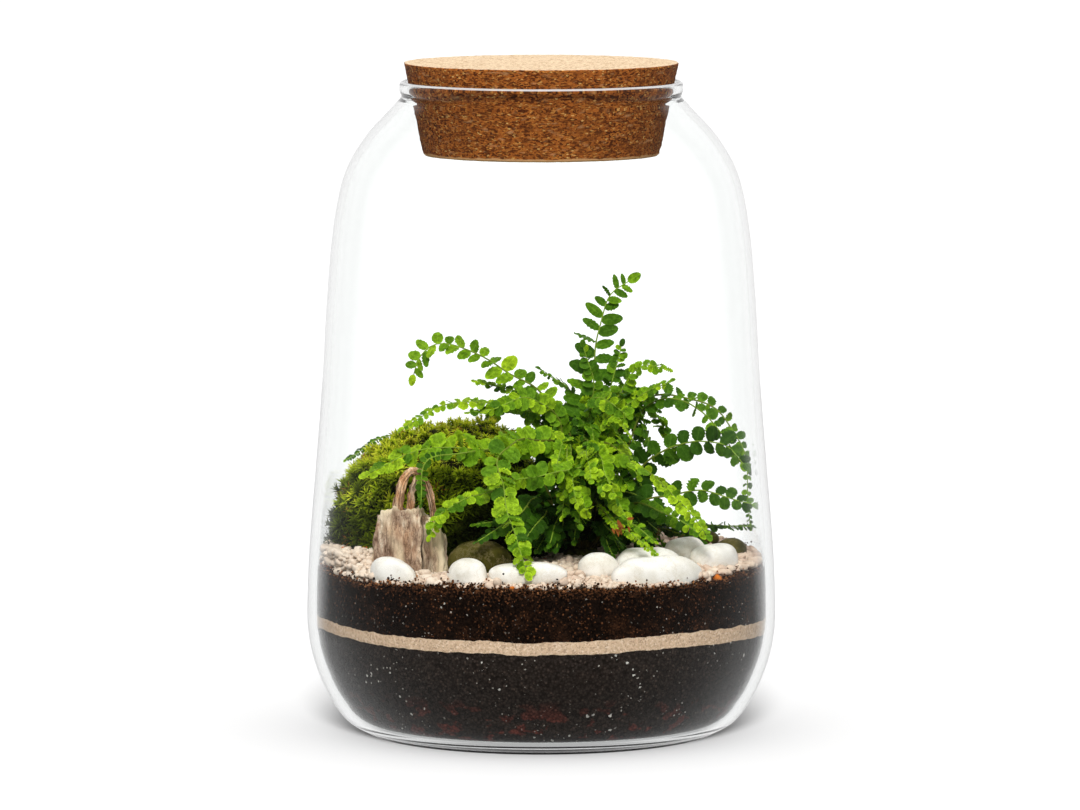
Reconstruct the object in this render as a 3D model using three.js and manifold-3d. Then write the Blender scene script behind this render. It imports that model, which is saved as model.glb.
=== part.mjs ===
// A closed glass plant terrarium: a cork-stoppered jar with layered soil, gravel, stones, a piece of
// driftwood, a moss hummock and a small button fern. Millimetres, +Z up, -Y is the front.
// The origin is the centre of the jar's flat underside.
import * as THREE from "three";
import { mergeVertices } from "three/addons/utils/BufferGeometryUtils.js";
import Module from "manifold-3d";

const wasm = await Module();
wasm.setup();

// ---------------------------------------------------------------- driving dimensions

const SIDES = 40; // facets round the jar, its stopper and every layer, so that they nest
const GAP = 0.3; // clearance between pieces that touch

// The jar's outside, as [radius, height], from the foot to the underside of the lip.
const JAR_OUTSIDE = [
  [74, 0], [83.5, 4.8], [91, 15.2], [96.5, 28], [99.3, 40], [100, 52], [99, 78], [96.4, 110],
  [93.2, 150], [91.2, 184], [88.4, 215], [83.6, 237.5], [75, 253], [65.5, 263.6], [60, 269.6],
];
const JAR_STEPS = 11; // rings of facets up the outside
const WALL_LOW = 4; // glass thickness at the foot
const WALL_HIGH = 3; // glass thickness at the neck
const FLOOR = 5; // glass thickness of the bottom
const LIP_OUTER = 60.2;
const LIP_INNER = 56.8;
const LIP_LOW = 271.5;
const LIP_TOP = 277;

const CORK_TOP = 285;
const CORK_BOTTOM = 245.5;
const CORK_TOP_RADIUS = 58.4;
const CORK_BOTTOM_RADIUS = 50;
const CORK_EDGE = 0.8; // worn edge

// Each layer's top: [height at the axis, slope towards +X, slope towards +Y].
const DRAINAGE_TOP = [17.5, 0, 0];
const SAND_LOW = [43.1, -0.0116, -0.023];
const SAND_TOP = [48.7, -0.003, -0.019];
const SOIL_TOP = [69.8, 0.02, -0.016];
const GRAVEL = 4.2; // thickness of the gravel bed under its stones

const GRAVEL_STONES = 36;
const GRAVEL_STONE = [2.7, 4.4]; // smallest and largest radius

const MOSS_CENTRE = [-38, 14];
const MOSS_REACH = { left: 57, right: 41, deep: 47 }; // half lengths
const MOSS_HEIGHT = 62;
const MOSS_LEAN = 0.1; // how much the hummock rises towards +X
const MOSS_SIDES = 24;
const MOSS_RINGS = 6;
const MOSS_NEEDLES = 96;
const MOSS_NEEDLE = [5, 8.5]; // shortest and longest that stand out

const CROWN = [16, 5]; // where the fern grows
const CROWN_RADIUS = 10;
const CROWN_TOP = 78;

const BLADE = 0.7; // thickness of a frond's blade
const RIB = 1.1; // width of a frond's rib
const STALK = 0.2; // share of a frond that has no leaflets
const LEAFLET_PITCH = 8.8; // distance along the rib from one leaflet to the next
const KEEL = 0.12; // how far a leaflet droops for each millimetre of its length

// ---------------------------------------------------------------- small tools

const DEG = Math.PI / 180;
const mix = (a, b, t) => a + (b - a) * t;
const clamp = (x, low, high) => Math.min(high, Math.max(low, x));

/** A repeatable stream of numbers from 0 to 1. */
function randomStream(seed) {
  let state = seed;
  return () => {
    state = (state + 0x6d2b79f5) | 0;
    let bits = Math.imul(state ^ (state >>> 15), 1 | state);
    bits = (bits + Math.imul(bits ^ (bits >>> 7), 61 | bits)) ^ bits;
    return ((bits ^ (bits >>> 14)) >>> 0) / 4294967296;
  };
}

/** A closed three.js geometry as a manifold solid. */
function solidOf(geometry) {
  const bare = new THREE.BufferGeometry();
  const faces = geometry.index ? geometry.toNonIndexed() : geometry;
  bare.setAttribute("position", faces.getAttribute("position"));
  const merged = mergeVertices(bare, 1e-3);
  return new wasm.Manifold(
    new wasm.Mesh({
      numProp: 3,
      vertProperties: merged.attributes.position.array,
      triVerts: new Uint32Array(merged.index.array),
    }),
  );
}

/** A manifold solid as a three.js geometry. */
function geometryOf(solid) {
  const mesh = solid.getMesh();
  const positions = new Float32Array(mesh.numVert * 3);
  for (let i = 0; i < mesh.numVert; i++)
    positions.set(mesh.vertProperties.subarray(i * mesh.numProp, i * mesh.numProp + 3), i * 3);
  const geometry = new THREE.BufferGeometry();
  geometry.setAttribute("position", new THREE.BufferAttribute(positions, 3));
  geometry.setIndex(new THREE.BufferAttribute(mesh.triVerts, 1));
  return geometry;
}

/** The largest body of a solid: cutting can leave loose scraps. */
function largestBody(solid) {
  return solid.decompose().reduce((best, body) => (body.volume() > best.volume() ? body : best));
}

/** A geometry from a list of points and a list of triangles. */
function geometryFrom(points, triangles) {
  const geometry = new THREE.BufferGeometry();
  geometry.setAttribute("position", new THREE.Float32BufferAttribute(points.flat(), 3));
  geometry.setIndex(triangles.flat());
  return geometry;
}

/** A solid turned about +Z from a profile of [radius, height] that runs from axis to axis. */
function turned(profile) {
  const points = profile.map(([r, z]) => new THREE.Vector2(r, z));
  return new THREE.LatheGeometry(points, SIDES).rotateX(Math.PI / 2);
}

/** A closed skin over rows of points: each row goes once round, and each end is closed by a hub. */
function skin(rows, lowHub, highHub) {
  const points = [...rows.flat(), lowHub, highHub];
  const sides = rows[0].length;
  const low = points.length - 2;
  const high = points.length - 1;
  const triangles = [];
  for (let i = 0; i < sides; i++) {
    const j = (i + 1) % sides;
    triangles.push([low, j, i]);
    for (let row = 0; row < rows.length - 1; row++) {
      const a = row * sides;
      const b = a + sides;
      triangles.push([a + i, a + j, b + j], [a + i, b + j, b + i]);
    }
    const top = (rows.length - 1) * sides;
    triangles.push([high, top + i, top + j]);
  }
  return geometryFrom(points, triangles);
}

// ---------------------------------------------------------------- jar and stopper

/** The jar's outside and inside as matching lists of [radius, height]. */
function jarProfiles() {
  const curve = new THREE.SplineCurve(JAR_OUTSIDE.map(([r, z]) => new THREE.Vector2(r, z)));
  const outside = [];
  const inside = [];
  for (let i = 0; i <= JAR_STEPS; i++) {
    const share = i / JAR_STEPS;
    const point = curve.getPoint(share);
    const along = curve.getTangent(share);
    const wall = mix(WALL_LOW, WALL_HIGH, clamp(point.y / 150, 0, 1));
    outside.push([point.x, point.y]);
    inside.push([point.x - along.y * wall, Math.max(FLOOR, point.y + along.x * wall)]);
  }
  return { outside, inside };
}

const { outside: jarOutside, inside: jarInside } = jarProfiles();

/** The radius of the jar's inner wall at a height, along its facets' corners. */
function innerRadius(z) {
  const above = jarInside.findIndex(([, height], i) => i > 0 && height >= z);
  if (above < 1) return LIP_INNER;
  const [r0, z0] = jarInside[above - 1];
  const [r1, z1] = jarInside[above];
  return mix(r0, r1, clamp((z - z0) / Math.max(z1 - z0, 1e-6), 0, 1));
}

function jarGeometry() {
  const bead = (LIP_OUTER - LIP_INNER) / 2;
  const lip = [
    [LIP_OUTER, LIP_LOW + 1.5],
    [LIP_OUTER, LIP_TOP - 1.6],
    [LIP_INNER + bead * 1.3, LIP_TOP],
    [LIP_INNER + bead * 0.6, LIP_TOP],
    [LIP_INNER, LIP_TOP - 1],
    [LIP_INNER, LIP_LOW - 0.5],
  ];
  const inner = jarInside.filter(([, z]) => z < LIP_LOW - 4).reverse();
  return turned([[0, 0], ...jarOutside, ...lip, ...inner, [0, FLOOR]]);
}

function corkGeometry() {
  const slope = (CORK_TOP_RADIUS - CORK_BOTTOM_RADIUS) / (CORK_TOP - CORK_BOTTOM);
  return turned([
    [0, CORK_BOTTOM],
    [CORK_BOTTOM_RADIUS - CORK_EDGE, CORK_BOTTOM],
    [CORK_BOTTOM_RADIUS + slope * CORK_EDGE, CORK_BOTTOM + CORK_EDGE],
    [CORK_TOP_RADIUS - slope * CORK_EDGE, CORK_TOP - CORK_EDGE],
    [CORK_TOP_RADIUS - CORK_EDGE, CORK_TOP],
    [0, CORK_TOP],
  ]);
}

// ---------------------------------------------------------------- layers

const plane = ([height, slopeX, slopeY]) => (x, y) => height + slopeX * x + slopeY * y;
const floorTop = () => FLOOR;
const drainageTop = plane(DRAINAGE_TOP);
const sandLow = plane(SAND_LOW);
const sandTop = plane(SAND_TOP);
const soilTop = plane(SOIL_TOP);
const gravelTop = (x, y) => soilTop(x, y) + GRAVEL;

/** A layer of filling between two surfaces, out to the glass. */
function layerGeometry(lowSurface, highSurface, wallSteps) {
  const rows = [];
  for (let step = 0; step <= wallSteps; step++) {
    const row = [];
    for (let i = 0; i < SIDES; i++) {
      const angle = (i / SIDES) * 2 * Math.PI;
      let point = [0, 0, 0];
      for (let pass = 0; pass < 4; pass++) {
        const low = lowSurface(point[0], point[1]) + GAP / 2;
        const high = highSurface(point[0], point[1]) - GAP / 2;
        const z = mix(low, high, step / wallSteps);
        const r = innerRadius(z) - GAP;
        point = [r * Math.cos(angle), r * Math.sin(angle), z];
      }
      row.push(point);
    }
    rows.push(row);
  }
  return skin(rows, [0, 0, lowSurface(0, 0) + GAP / 2], [0, 0, highSurface(0, 0) - GAP / 2]);
}

// ---------------------------------------------------------------- stones

/** A worn stone: an ellipsoid with a few soft swellings, pressed flat where it would meet the ground. */
function stoneGeometry(centre, halfSize, turn, detail, seed, ground) {
  const random = randomStream(seed);
  const swell = [random() * 6, random() * 6, random() * 6];
  const stone = new THREE.IcosahedronGeometry(1, detail);
  const position = stone.attributes.position;
  for (let i = 0; i < position.count; i++) {
    const x = position.getX(i);
    const y = position.getY(i);
    const z = position.getZ(i);
    const bulge =
      1 + 0.07 * Math.sin(2.1 * x + swell[0]) + 0.07 * Math.sin(2.4 * y + swell[1]) +
      0.05 * Math.sin(2.8 * z + swell[2]);
    position.setXYZ(i, x * bulge * halfSize[0], y * bulge * halfSize[1], z * bulge * halfSize[2]);
  }
  stone.rotateZ(turn * DEG).translate(...centre);
  for (let i = 0; ground && i < position.count; i++)
    position.setZ(i, Math.max(position.getZ(i), ground(position.getX(i), position.getY(i)) + GAP));
  return stone;
}

// Each stone: its middle, its half length, width and height, its turn in degrees.
const WHITE_PEBBLES = [
  { at: [-60, -62.8], half: [11.5, 5.6, 5.4], turn: -42, z: 75.2 },
  { at: [-30.5, -78.5], half: [8.4, 6.2, 6], turn: -18, z: 75.8 },
  { at: [-4.5, -81], half: [14.5, 6.2, 5.4], turn: -2, z: 76 },
  { at: [24, -58], half: [8, 6, 5.2], turn: 5, z: 77.2 },
  { at: [47, -69.5], half: [19, 7.6, 6.2], turn: 24, z: 75.8 },
  { at: [73, -39], half: [12, 8, 6.4], turn: 50, z: 77.4 },
  { at: [45, -46], half: [13, 7, 5.8], turn: 10, z: 77.4 },
  { at: [62, -19], half: [9.5, 7, 6], turn: -12, z: 78 },
];
const RIVER_STONES = [
  { at: [-25, -56], half: [13, 9, 9], turn: -8, z: 78.4 },
  { at: [81, -3], half: [8, 6.5, 4.8], turn: 84, z: 76.6 },
  { at: [68, 32], half: [10, 7, 5], turn: -35, z: 77 },
  { at: [42, 66], half: [13, 8, 6], turn: -20, z: 77 },
];

/** Every loose stone that lies in the gravel, as {name, geometry, socket}. */
function looseStones() {
  const describe = (list, name, detail, seed) =>
    list.map(({ at, half, turn, z }, i) => {
      const build = (grow, ground) =>
        stoneGeometry([...at, z], half.map((h) => h + grow), turn, detail, seed + i, ground);
      const socket = solidOf(build(GAP + 0.15));
      return { name: `${name}_${i + 1}`, geometry: build(0, soilTop), socket };
    });
  return [...describe(WHITE_PEBBLES, "white_pebble", 1, 11), ...describe(RIVER_STONES, "river_stone", 1, 71)];
}

// ---------------------------------------------------------------- driftwood

const WOOD_AT = [-54, -45.3];
const WOOD_FLARE = 1.06; // the foot's spread
// The stump's outline from above as [x, y, top height], with a deep crack near the right of the front.
const WOOD_OUTLINE = [
  [-16, 4, 26], [-15.5, -4, 28], [-9, -8, 31], [-2, -7.2, 30], [4, -8, 31], [6.2, -3.5, 24],
  [8.4, -7.6, 28], [13, -5.5, 22], [15.5, 1, 17], [12.5, 7, 20], [5, 9, 29], [-6, 8.5, 30],
];
// The weathered root that loops over the stump, as [x, y, height] above the foot.
const WOOD_LOOP = [
  [-6.5, -1, 24], [-6, -1, 33], [-3.5, -1, 40.5], [1, 0, 43.5], [5.5, 1, 41], [8, 2, 33], [9.5, 3, 22],
];
const WOOD_PRONG = [[-1, 1, 25], [-2, 0.5, 33], [0, 0.5, 39], [2, 1, 42]];

/** A round bar along points, of one radius. */
function barGeometry(points, radius, sides, steps) {
  const section = new THREE.Shape();
  for (let i = 0; i < sides; i++) {
    const angle = (i / sides) * 2 * Math.PI;
    const method = i ? "lineTo" : "moveTo";
    section[method](radius * Math.cos(angle), radius * Math.sin(angle));
  }
  const path = new THREE.CatmullRomCurve3(points.map((p) => new THREE.Vector3(...p)));
  return new THREE.ExtrudeGeometry(section, { extrudePath: path, steps, bevelEnabled: false });
}

function driftwoodGeometry() {
  const levels = [[0, WOOD_FLARE], [0.4, 1], [0.75, 0.95], [1, 0.84]];
  const rows = levels.map(([level, scale]) =>
    WOOD_OUTLINE.map(([x, y, top]) => [x * scale, y * scale, top * level]),
  );
  const stump = solidOf(skin(rows, [0, 0, 0], [0, 0, 24]));
  const loop = solidOf(barGeometry(WOOD_LOOP, 3.1, 7, 12));
  const prong = solidOf(barGeometry(WOOD_PRONG, 2.2, 6, 6));
  return geometryOf(stump.add(loop).add(prong)).translate(...WOOD_AT, soilTop(...WOOD_AT) + 2 * GAP);
}

// ---------------------------------------------------------------- moss

/** The moss hummock's surface: rings of a blunt dome, lumpy, kept inside the glass. */
function mossPoint(angle, share) {
  const reach = Math.cos(angle) > 0 ? MOSS_REACH.right : MOSS_REACH.left;
  const lumps = 1 + 0.03 * Math.sin(5 * angle + 1) + 0.03 * Math.sin(9 * angle + 3 * share);
  const outX = reach * share * lumps * Math.cos(angle);
  const x = MOSS_CENTRE[0] + outX;
  const y = MOSS_CENTRE[1] + MOSS_REACH.deep * share * lumps * Math.sin(angle);
  const rise = Math.sqrt(Math.max(0, 1 - share ** 2.7));
  const bumps = 1 + 0.03 * Math.sin(x / 6 + 2) * Math.cos(y / 7);
  const height = (MOSS_HEIGHT + MOSS_LEAN * outX) * rise * bumps;
  return intoGlass([x, y, soilTop(x, y) + GAP + height], 1.2);
}

/** A point moved in towards the axis where it would come nearer to the glass than a margin. */
function intoGlass([x, y, z], margin) {
  const most = innerRadius(z) * Math.cos(Math.PI / SIDES) - margin;
  const radius = Math.hypot(x, y);
  const scale = radius > most ? most / radius : 1;
  return [x * scale, y * scale, z];
}

function mossGeometry() {
  const random = randomStream(5);
  const rows = [];
  for (let ring = 0; ring < MOSS_RINGS; ring++) {
    const share = Math.sin(((MOSS_RINGS - ring) / MOSS_RINGS) * (Math.PI / 2));
    const turn = (ring % 2) * (Math.PI / MOSS_SIDES);
    const at = (i) => mossPoint((i / MOSS_SIDES) * 2 * Math.PI + turn, share);
    rows.push(Array.from({ length: MOSS_SIDES }, (_, i) => at(i)));
  }
  const [footX, footY] = MOSS_CENTRE;
  const core = solidOf(skin(rows, [footX, footY, soilTop(footX, footY) + GAP], mossPoint(0, 0)));
  const needles = Array.from({ length: MOSS_NEEDLES }, (_, i) => mossNeedle(i, random));
  return geometryOf(core.add(wasm.Manifold.union(needles)));
}

/** One moss shoot: a three-sided needle that leans out of the hummock. */
function mossNeedle(index, random) {
  const golden = 2.399963;
  const share = Math.sqrt((index + 0.5) / MOSS_NEEDLES) * 0.97;
  const angle = index * golden;
  const foot = new THREE.Vector3(...mossPoint(angle, share));
  const heart = new THREE.Vector3(...MOSS_CENTRE, soilTop(0, 0) + 10);
  const out = foot.clone().sub(heart).normalize();
  out.add(new THREE.Vector3(random() - 0.5, random() - 0.5, random() * 0.6)).normalize();
  const length = mix(MOSS_NEEDLE[0], MOSS_NEEDLE[1], random());
  const sunk = foot.clone().addScaledVector(out, -3);
  const tip = intoGlass(foot.clone().addScaledVector(out, length).toArray(), 1.2);
  const side = new THREE.Vector3(0, 0, 1).cross(out).normalize();
  const other = out.clone().cross(side);
  const corner = (turn) =>
    sunk.clone()
      .addScaledVector(side, 1.5 * Math.cos(turn * DEG))
      .addScaledVector(other, 1.5 * Math.sin(turn * DEG))
      .toArray();
  return solidOf(geometryFrom([corner(0), corner(120), corner(240), tip],
    [[0, 2, 1], [0, 1, 3], [1, 2, 3], [2, 0, 3]]));
}

// ---------------------------------------------------------------- gravel

/** The gravel: a thin bed with small stones set into it wherever it shows. */
function gravelGeometry(sockets) {
  const random = randomStream(23);
  const grains = [];
  while (grains.length < GRAVEL_STONES) {
    const angle = random() * 2 * Math.PI;
    const radius = mix(48, 90.5, Math.sqrt(random()));
    const x = radius * Math.cos(angle);
    const y = radius * Math.sin(angle);
    const size = mix(...GRAVEL_STONE, random());
    const underMoss = Math.hypot((x - MOSS_CENTRE[0]) / MOSS_REACH.left, (y - MOSS_CENTRE[1]) / MOSS_REACH.deep) < 0.9;
    if (underMoss || radius + size * 1.2 > 93) continue;
    const half = [size * 1.15, size, size * 0.8];
    grains.push(solidOf(stoneGeometry([x, y, gravelTop(x, y) + 0.4], half, random() * 180, 0, grains.length)));
  }
  const bed = solidOf(layerGeometry(soilTop, gravelTop, 1));
  const whole = bed.add(wasm.Manifold.union(grains));
  return geometryOf(largestBody(whole.subtract(wasm.Manifold.union(sockets))));
}

/** An upright hole through the gravel for a piece whose foot has this outline round [x, y]. */
function footSocket(outline, [middleX, middleY], room) {
  const rows = [55, 92].map((z) =>
    outline.map(([x, y]) => {
      const reach = 1 + room / Math.hypot(x - middleX, y - middleY);
      return [middleX + (x - middleX) * reach, middleY + (y - middleY) * reach, z];
    }),
  );
  return solidOf(skin(rows, [middleX, middleY, 55], [middleX, middleY, 92])).hull();
}

const mossOutline = () =>
  Array.from({ length: MOSS_SIDES }, (_, i) => mossPoint((i / MOSS_SIDES) * 2 * Math.PI, 1));
const driftwoodOutline = () =>
  WOOD_OUTLINE.map(([x, y]) => [WOOD_AT[0] + x * WOOD_FLARE, WOOD_AT[1] + y * WOOD_FLARE]);
const crownOutline = () =>
  Array.from({ length: 10 }, (_, i) => [
    CROWN[0] + CROWN_RADIUS * 1.1 * Math.cos(i * 36 * DEG),
    CROWN[1] + CROWN_RADIUS * 1.1 * Math.sin(i * 36 * DEG),
  ]);

// ---------------------------------------------------------------- fern

// Each frond springs from the crown and passes through the points of "by"; its upper side looks
// towards "face", and "leaf" is the length of its longest leaflets.
const FRONDS = [
  { by: [[17, 4, 125], [24, 4, 165], [30, 5, 184], [37, 6, 192]], face: [0.1, -1, 0.25], leaf: 8 },
  { by: [[12, 2, 124], [-2, -2, 145], [-30, -7, 165], [-54, -11, 156]], face: [0, -0.6, 0.9], leaf: 7.5 },
  { by: [[24, 3, 120], [35, 1, 146], [43, -3, 156], [52, -6, 155]], face: [0, -0.6, 1], leaf: 5.5 },
  { by: [[36, 8, 132], [62, 13, 141], [86, 14, 122], [90, 6, 87]], face: [0.3, -0.8, 0.6], leaf: 5 },
  { by: [[44, -2, 137], [68, -13, 137], [84, -18, 116]], face: [0, -0.7, 0.7], leaf: 7 },
  { by: [[46, -10, 116], [62, -18, 124], [76, -25, 125], [84, -30, 117]], face: [0, -1, 0.1], leaf: 7.5 },
  { by: [[40, -14, 97], [66, -20, 104], [88, -24, 99]], face: [0, -1, 0.3], leaf: 7 },
  { by: [[42, 2, 92], [64, 2, 87], [90, 4, 86]], face: [0, -0.3, 1], leaf: 5.5 },
  { by: [[8, -14, 122], [-16, -48, 125], [-15, -70, 107], [-6, -89, 79]], face: [0, -1, 0.5], leaf: 8 },
  { by: [[-2, -22, 110], [-23, -46, 107], [-41, -60, 100], [-46, -64, 91]], face: [-0.2, -0.6, 0.7], leaf: 6 },
  { by: [[0, -4, 121], [-23, -36, 124], [-50, -40, 124], [-71, -44, 115]], face: [0, -0.6, 0.8], leaf: 8 },
  { by: [[4, 34, 118], [-34, 62, 119], [-66, 48, 120], [-85, 27, 112]], face: [0, -0.5, 1], leaf: 4.5 },
  { by: [[15, 7, 122], [13, 11, 142], [0, 6, 153]], face: [0, -0.5, 1], leaf: 5 },
  { by: [[4, 2, 126], [-18, -8, 140], [-40, -12, 140], [-58, -18, 131]], face: [0, -0.5, 1], leaf: 6.5 },
  { by: [[25, -18, 122], [37, -38, 119], [55, -56, 107], [68, -62, 91]], face: [0.2, -0.5, 0.8], leaf: 6.5 },
  { by: [[12, -20, 124], [14, -46, 113], [19, -60, 100]], face: [0, -0.7, 0.8], leaf: 7 },
  { by: [[20, -22, 112], [29, -44, 107], [36, -56, 96]], face: [0, -0.7, 0.8], leaf: 7 },
  { by: [[20, -5, 132], [24, -20, 144], [36, -34, 138]], face: [0, -0.7, 0.8], leaf: 7 },
  { by: [[36, -20, 98], [54, -30, 95], [66, -36, 88]], face: [0, -0.7, 0.8], leaf: 6.5 },
  { by: [[30, -20, 92], [38, -42, 93], [47, -54, 87]], face: [0, -0.4, 1], leaf: 4.5 },
  { by: [[-2, -14, 97], [-14, -38, 95], [-27, -44, 93]], face: [0, -0.4, 1], leaf: 6 },
  { by: [[8, -2, 128], [-4, -14, 143], [-22, -26, 139]], face: [0, -0.7, 0.8], leaf: 6.5 },
  { by: [[30, 20, 122], [46, 40, 133], [60, 62, 112]], face: [0.4, 0.4, 1], leaf: 7 },
  { by: [[16, 22, 124], [14, 50, 134], [10, 76, 110]], face: [0, 0.6, 1], leaf: 7 },
  { by: [[6, 22, 128], [-12, 46, 135], [-30, 70, 118]], face: [-0.3, 0.5, 1], leaf: 7 },
  { by: [[36, 16, 100], [50, 34, 100], [62, 56, 88]], face: [0.4, 0.4, 1], leaf: 6.5 },
  { by: [[26, 10, 128], [34, 24, 141], [44, 38, 142]], face: [0.4, 0.4, 1], leaf: 6.5 },
];

/** The frond's rib as stations, each with its point and its three directions. */
function frondStations({ by, face }) {
  const [first] = by;
  const heading = Math.atan2(first[1] - CROWN[1], first[0] - CROWN[0]);
  const steep = (first[2] - CROWN_TOP) / Math.hypot(first[0] - CROWN[0], first[1] - CROWN[1]);
  const ring = clamp(9.5 - 0.9 * steep, 2.5, 9);
  const root = new THREE.Vector3(
    CROWN[0] + ring * Math.cos(heading), CROWN[1] + ring * Math.sin(heading), CROWN_TOP + GAP,
  );
  const points = [root, ...by.map((point) => new THREE.Vector3(...point))];
  const curve = new THREE.CatmullRomCurve3(points, false, "catmullrom", 0.5);
  const pairs = Math.round((curve.getLength() * (1 - STALK)) / LEAFLET_PITCH);
  const shares = [0, STALK / 2, ...Array.from({ length: pairs + 1 }, (_, i) => mix(STALK, 1, i / pairs))];
  return shares.map((share) => {
    const along = curve.getTangentAt(share);
    const side = new THREE.Vector3(...face).cross(along).normalize();
    const normal = along.clone().cross(side);
    return { share, point: curve.getPointAt(share), along, side, normal };
  });
}

/** How long a leaflet is, from 0 to 1, along the leafy stretch of a frond. */
const leafletTaper = (t) => 1 - 0.3 * (1 - t) ** 3 - 0.55 * t ** 2.5;

// A leaflet's outline: [share of the way to the next leaflet, share of the leaflet's length].
const LEAFLET = [[0.12, 0.64], [0.5, 1], [0.88, 0.66]];

/** A point of a frond's blade, a distance out to one side of the rib between two stations. */
function bladePoint(station, next, t, out) {
  const point = station.point.clone().lerp(next.point, t);
  const side = station.side.clone().lerp(next.side, t).normalize();
  const normal = station.normal.clone().lerp(next.normal, t).normalize();
  point.addScaledVector(side, out).addScaledVector(normal, -KEEL * Math.abs(out));
  return { at: new THREE.Vector3(...intoGlass(point.toArray(), 1.6)), normal };
}

/** Points spread over a leaflet, which tell whether it runs into another one. */
function leafletProbes(station, next, hand, reach) {
  const spots = [[0.1, 0.3], [0.5, 0.3], [0.9, 0.3], [0.15, 0.62], [0.5, 0.65], [0.85, 0.62], [0.5, 0.95]];
  return spots.map(([u, v]) => bladePoint(station, next, u, hand * (RIB / 2 + reach * v)).at);
}

/**
 * A frond: one thin arched blade whose outline is leaflets cut to the rib. "taken" holds probes of
 * what grew before it; a leaflet that would run into any of them is left out.
 */
function frondGeometry(frond, taken) {
  const stations = frondStations(frond);
  const points = [];
  const triangles = [];
  const grown = [];
  const addPair = (station, next, t, out) => {
    const { at, normal } = bladePoint(station, next, t, out);
    points.push(at.clone().addScaledVector(normal, BLADE / 2).toArray());
    points.push(at.addScaledVector(normal, -BLADE / 2).toArray());
    return points.length - 2; // the upper point's index; the lower one follows it
  };
  const cover = (a, b, c) => triangles.push([a, b, c], [a + 1, c + 1, b + 1]);
  const wall = (a, b) => triangles.push([a, a + 1, b + 1], [a, b + 1, b]);
  /** A flat patch with this rim, anticlockwise from above; its first edge lies on the rib. */
  const patch = (rim) => {
    for (let k = 2; k < rim.length; k++) cover(rim[0], rim[k - 1], rim[k]);
    for (let k = 1; k < rim.length; k++) wall(rim[k], rim[(k + 1) % rim.length]);
  };
  const edges = stations.map((s) => [addPair(s, s, 0, RIB / 2), addPair(s, s, 0, -RIB / 2)]);
  for (let i = 0; i < stations.length - 1; i++) {
    const [station, next] = [stations[i], stations[i + 1]];
    const [[left, right], [nextLeft, nextRight]] = [edges[i], edges[i + 1]];
    cover(left, right, nextRight);
    cover(left, nextRight, nextLeft);
    const t = (station.share - STALK) / (1 - STALK);
    const reach = frond.leaf * leafletTaper(t);
    for (const hand of [1, -1]) {
      const probes = leafletProbes(station, next, hand, reach);
      const free = t > -1e-6 && probes.every((p) => taken.every((q) => p.distanceToSquared(q) > 5));
      if (free) grown.push(...probes);
      const rim = free
        ? LEAFLET.map(([u, v]) => addPair(station, next, u, hand * (RIB / 2 + reach * v)))
        : [];
      if (hand > 0 && !rim.length) wall(nextLeft, left);
      else if (!rim.length) wall(right, nextRight);
      else if (hand > 0) patch([left, nextLeft, ...rim.reverse()]);
      else patch([nextRight, right, ...rim]);
    }
  }
  taken.push(...grown, ...stations.map((s) => s.point));
  wall(edges[0][0], edges[0][1]);
  const [left, right] = edges.at(-1);
  const last = stations.at(-1);
  const beyond = { ...last, point: last.point.clone().addScaledVector(last.along, frond.leaf * 0.55) };
  const shoulder = frond.leaf * 0.24;
  const end = [[0.6, -shoulder], [1, 0], [0.6, shoulder]].map(([t, out]) => addPair(last, beyond, t, out));
  patch([left, right, ...end]);
  return geometryFrom(points, triangles);
}

/** The short scaly stock that the fronds grow from, with its foot on the soil. */
function crownGeometry() {
  const foot = soilTop(...CROWN) + GAP;
  const ring = (radius, z) =>
    Array.from({ length: 10 }, (_, i) => [
      CROWN[0] + radius * Math.cos(i * 36 * DEG), CROWN[1] + radius * Math.sin(i * 36 * DEG), z,
    ]);
  const rows = [ring(CROWN_RADIUS * 1.1, foot), ring(CROWN_RADIUS, CROWN_TOP - 3), ring(CROWN_RADIUS * 0.9, CROWN_TOP)];
  return skin(rows, [...CROWN, foot], [...CROWN, CROWN_TOP]);
}

// ---------------------------------------------------------------- the terrarium

const LOOKS = {
  glass: { color: 0xf4f8f6, roughness: 0.03, metalness: 0, transparent: true, opacity: 0.3 },
  cork: { color: 0x9a6136, roughness: 0.9, metalness: 0 },
  drainage: { color: 0x3b1f1a, roughness: 0.9, metalness: 0 },
  soil: { color: 0x241a15, roughness: 0.95, metalness: 0 },
  sand: { color: 0xd2b48c, roughness: 0.9, metalness: 0 },
  gravel: { color: 0xd9c3b4, roughness: 0.7, metalness: 0 },
  whiteStone: { color: 0xf0ebe0, roughness: 0.5, metalness: 0 },
  riverStone: { color: 0x857d66, roughness: 0.6, metalness: 0 },
  driftwood: { color: 0x9b7a5c, roughness: 0.85, metalness: 0 },
  moss: { color: 0x4f6b16, roughness: 0.8, metalness: 0 },
  fern: { color: 0x5f9a1e, roughness: 0.5, metalness: 0 },
};

const terrarium = new THREE.Group();

function addPiece(name, geometry, look) {
  const mesh = new THREE.Mesh(geometry, new THREE.MeshStandardMaterial(LOOKS[look]));
  mesh.name = name;
  terrarium.add(mesh);
}

addPiece("jar", jarGeometry(), "glass");
addPiece("cork_stopper", corkGeometry(), "cork");
addPiece("drainage_layer", layerGeometry(floorTop, drainageTop, 3), "drainage");
addPiece("lower_soil", layerGeometry(drainageTop, sandLow, 3), "soil");
addPiece("sand_band", layerGeometry(sandLow, sandTop, 1), "sand");
addPiece("upper_soil", layerGeometry(sandTop, soilTop, 2), "soil");

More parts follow.
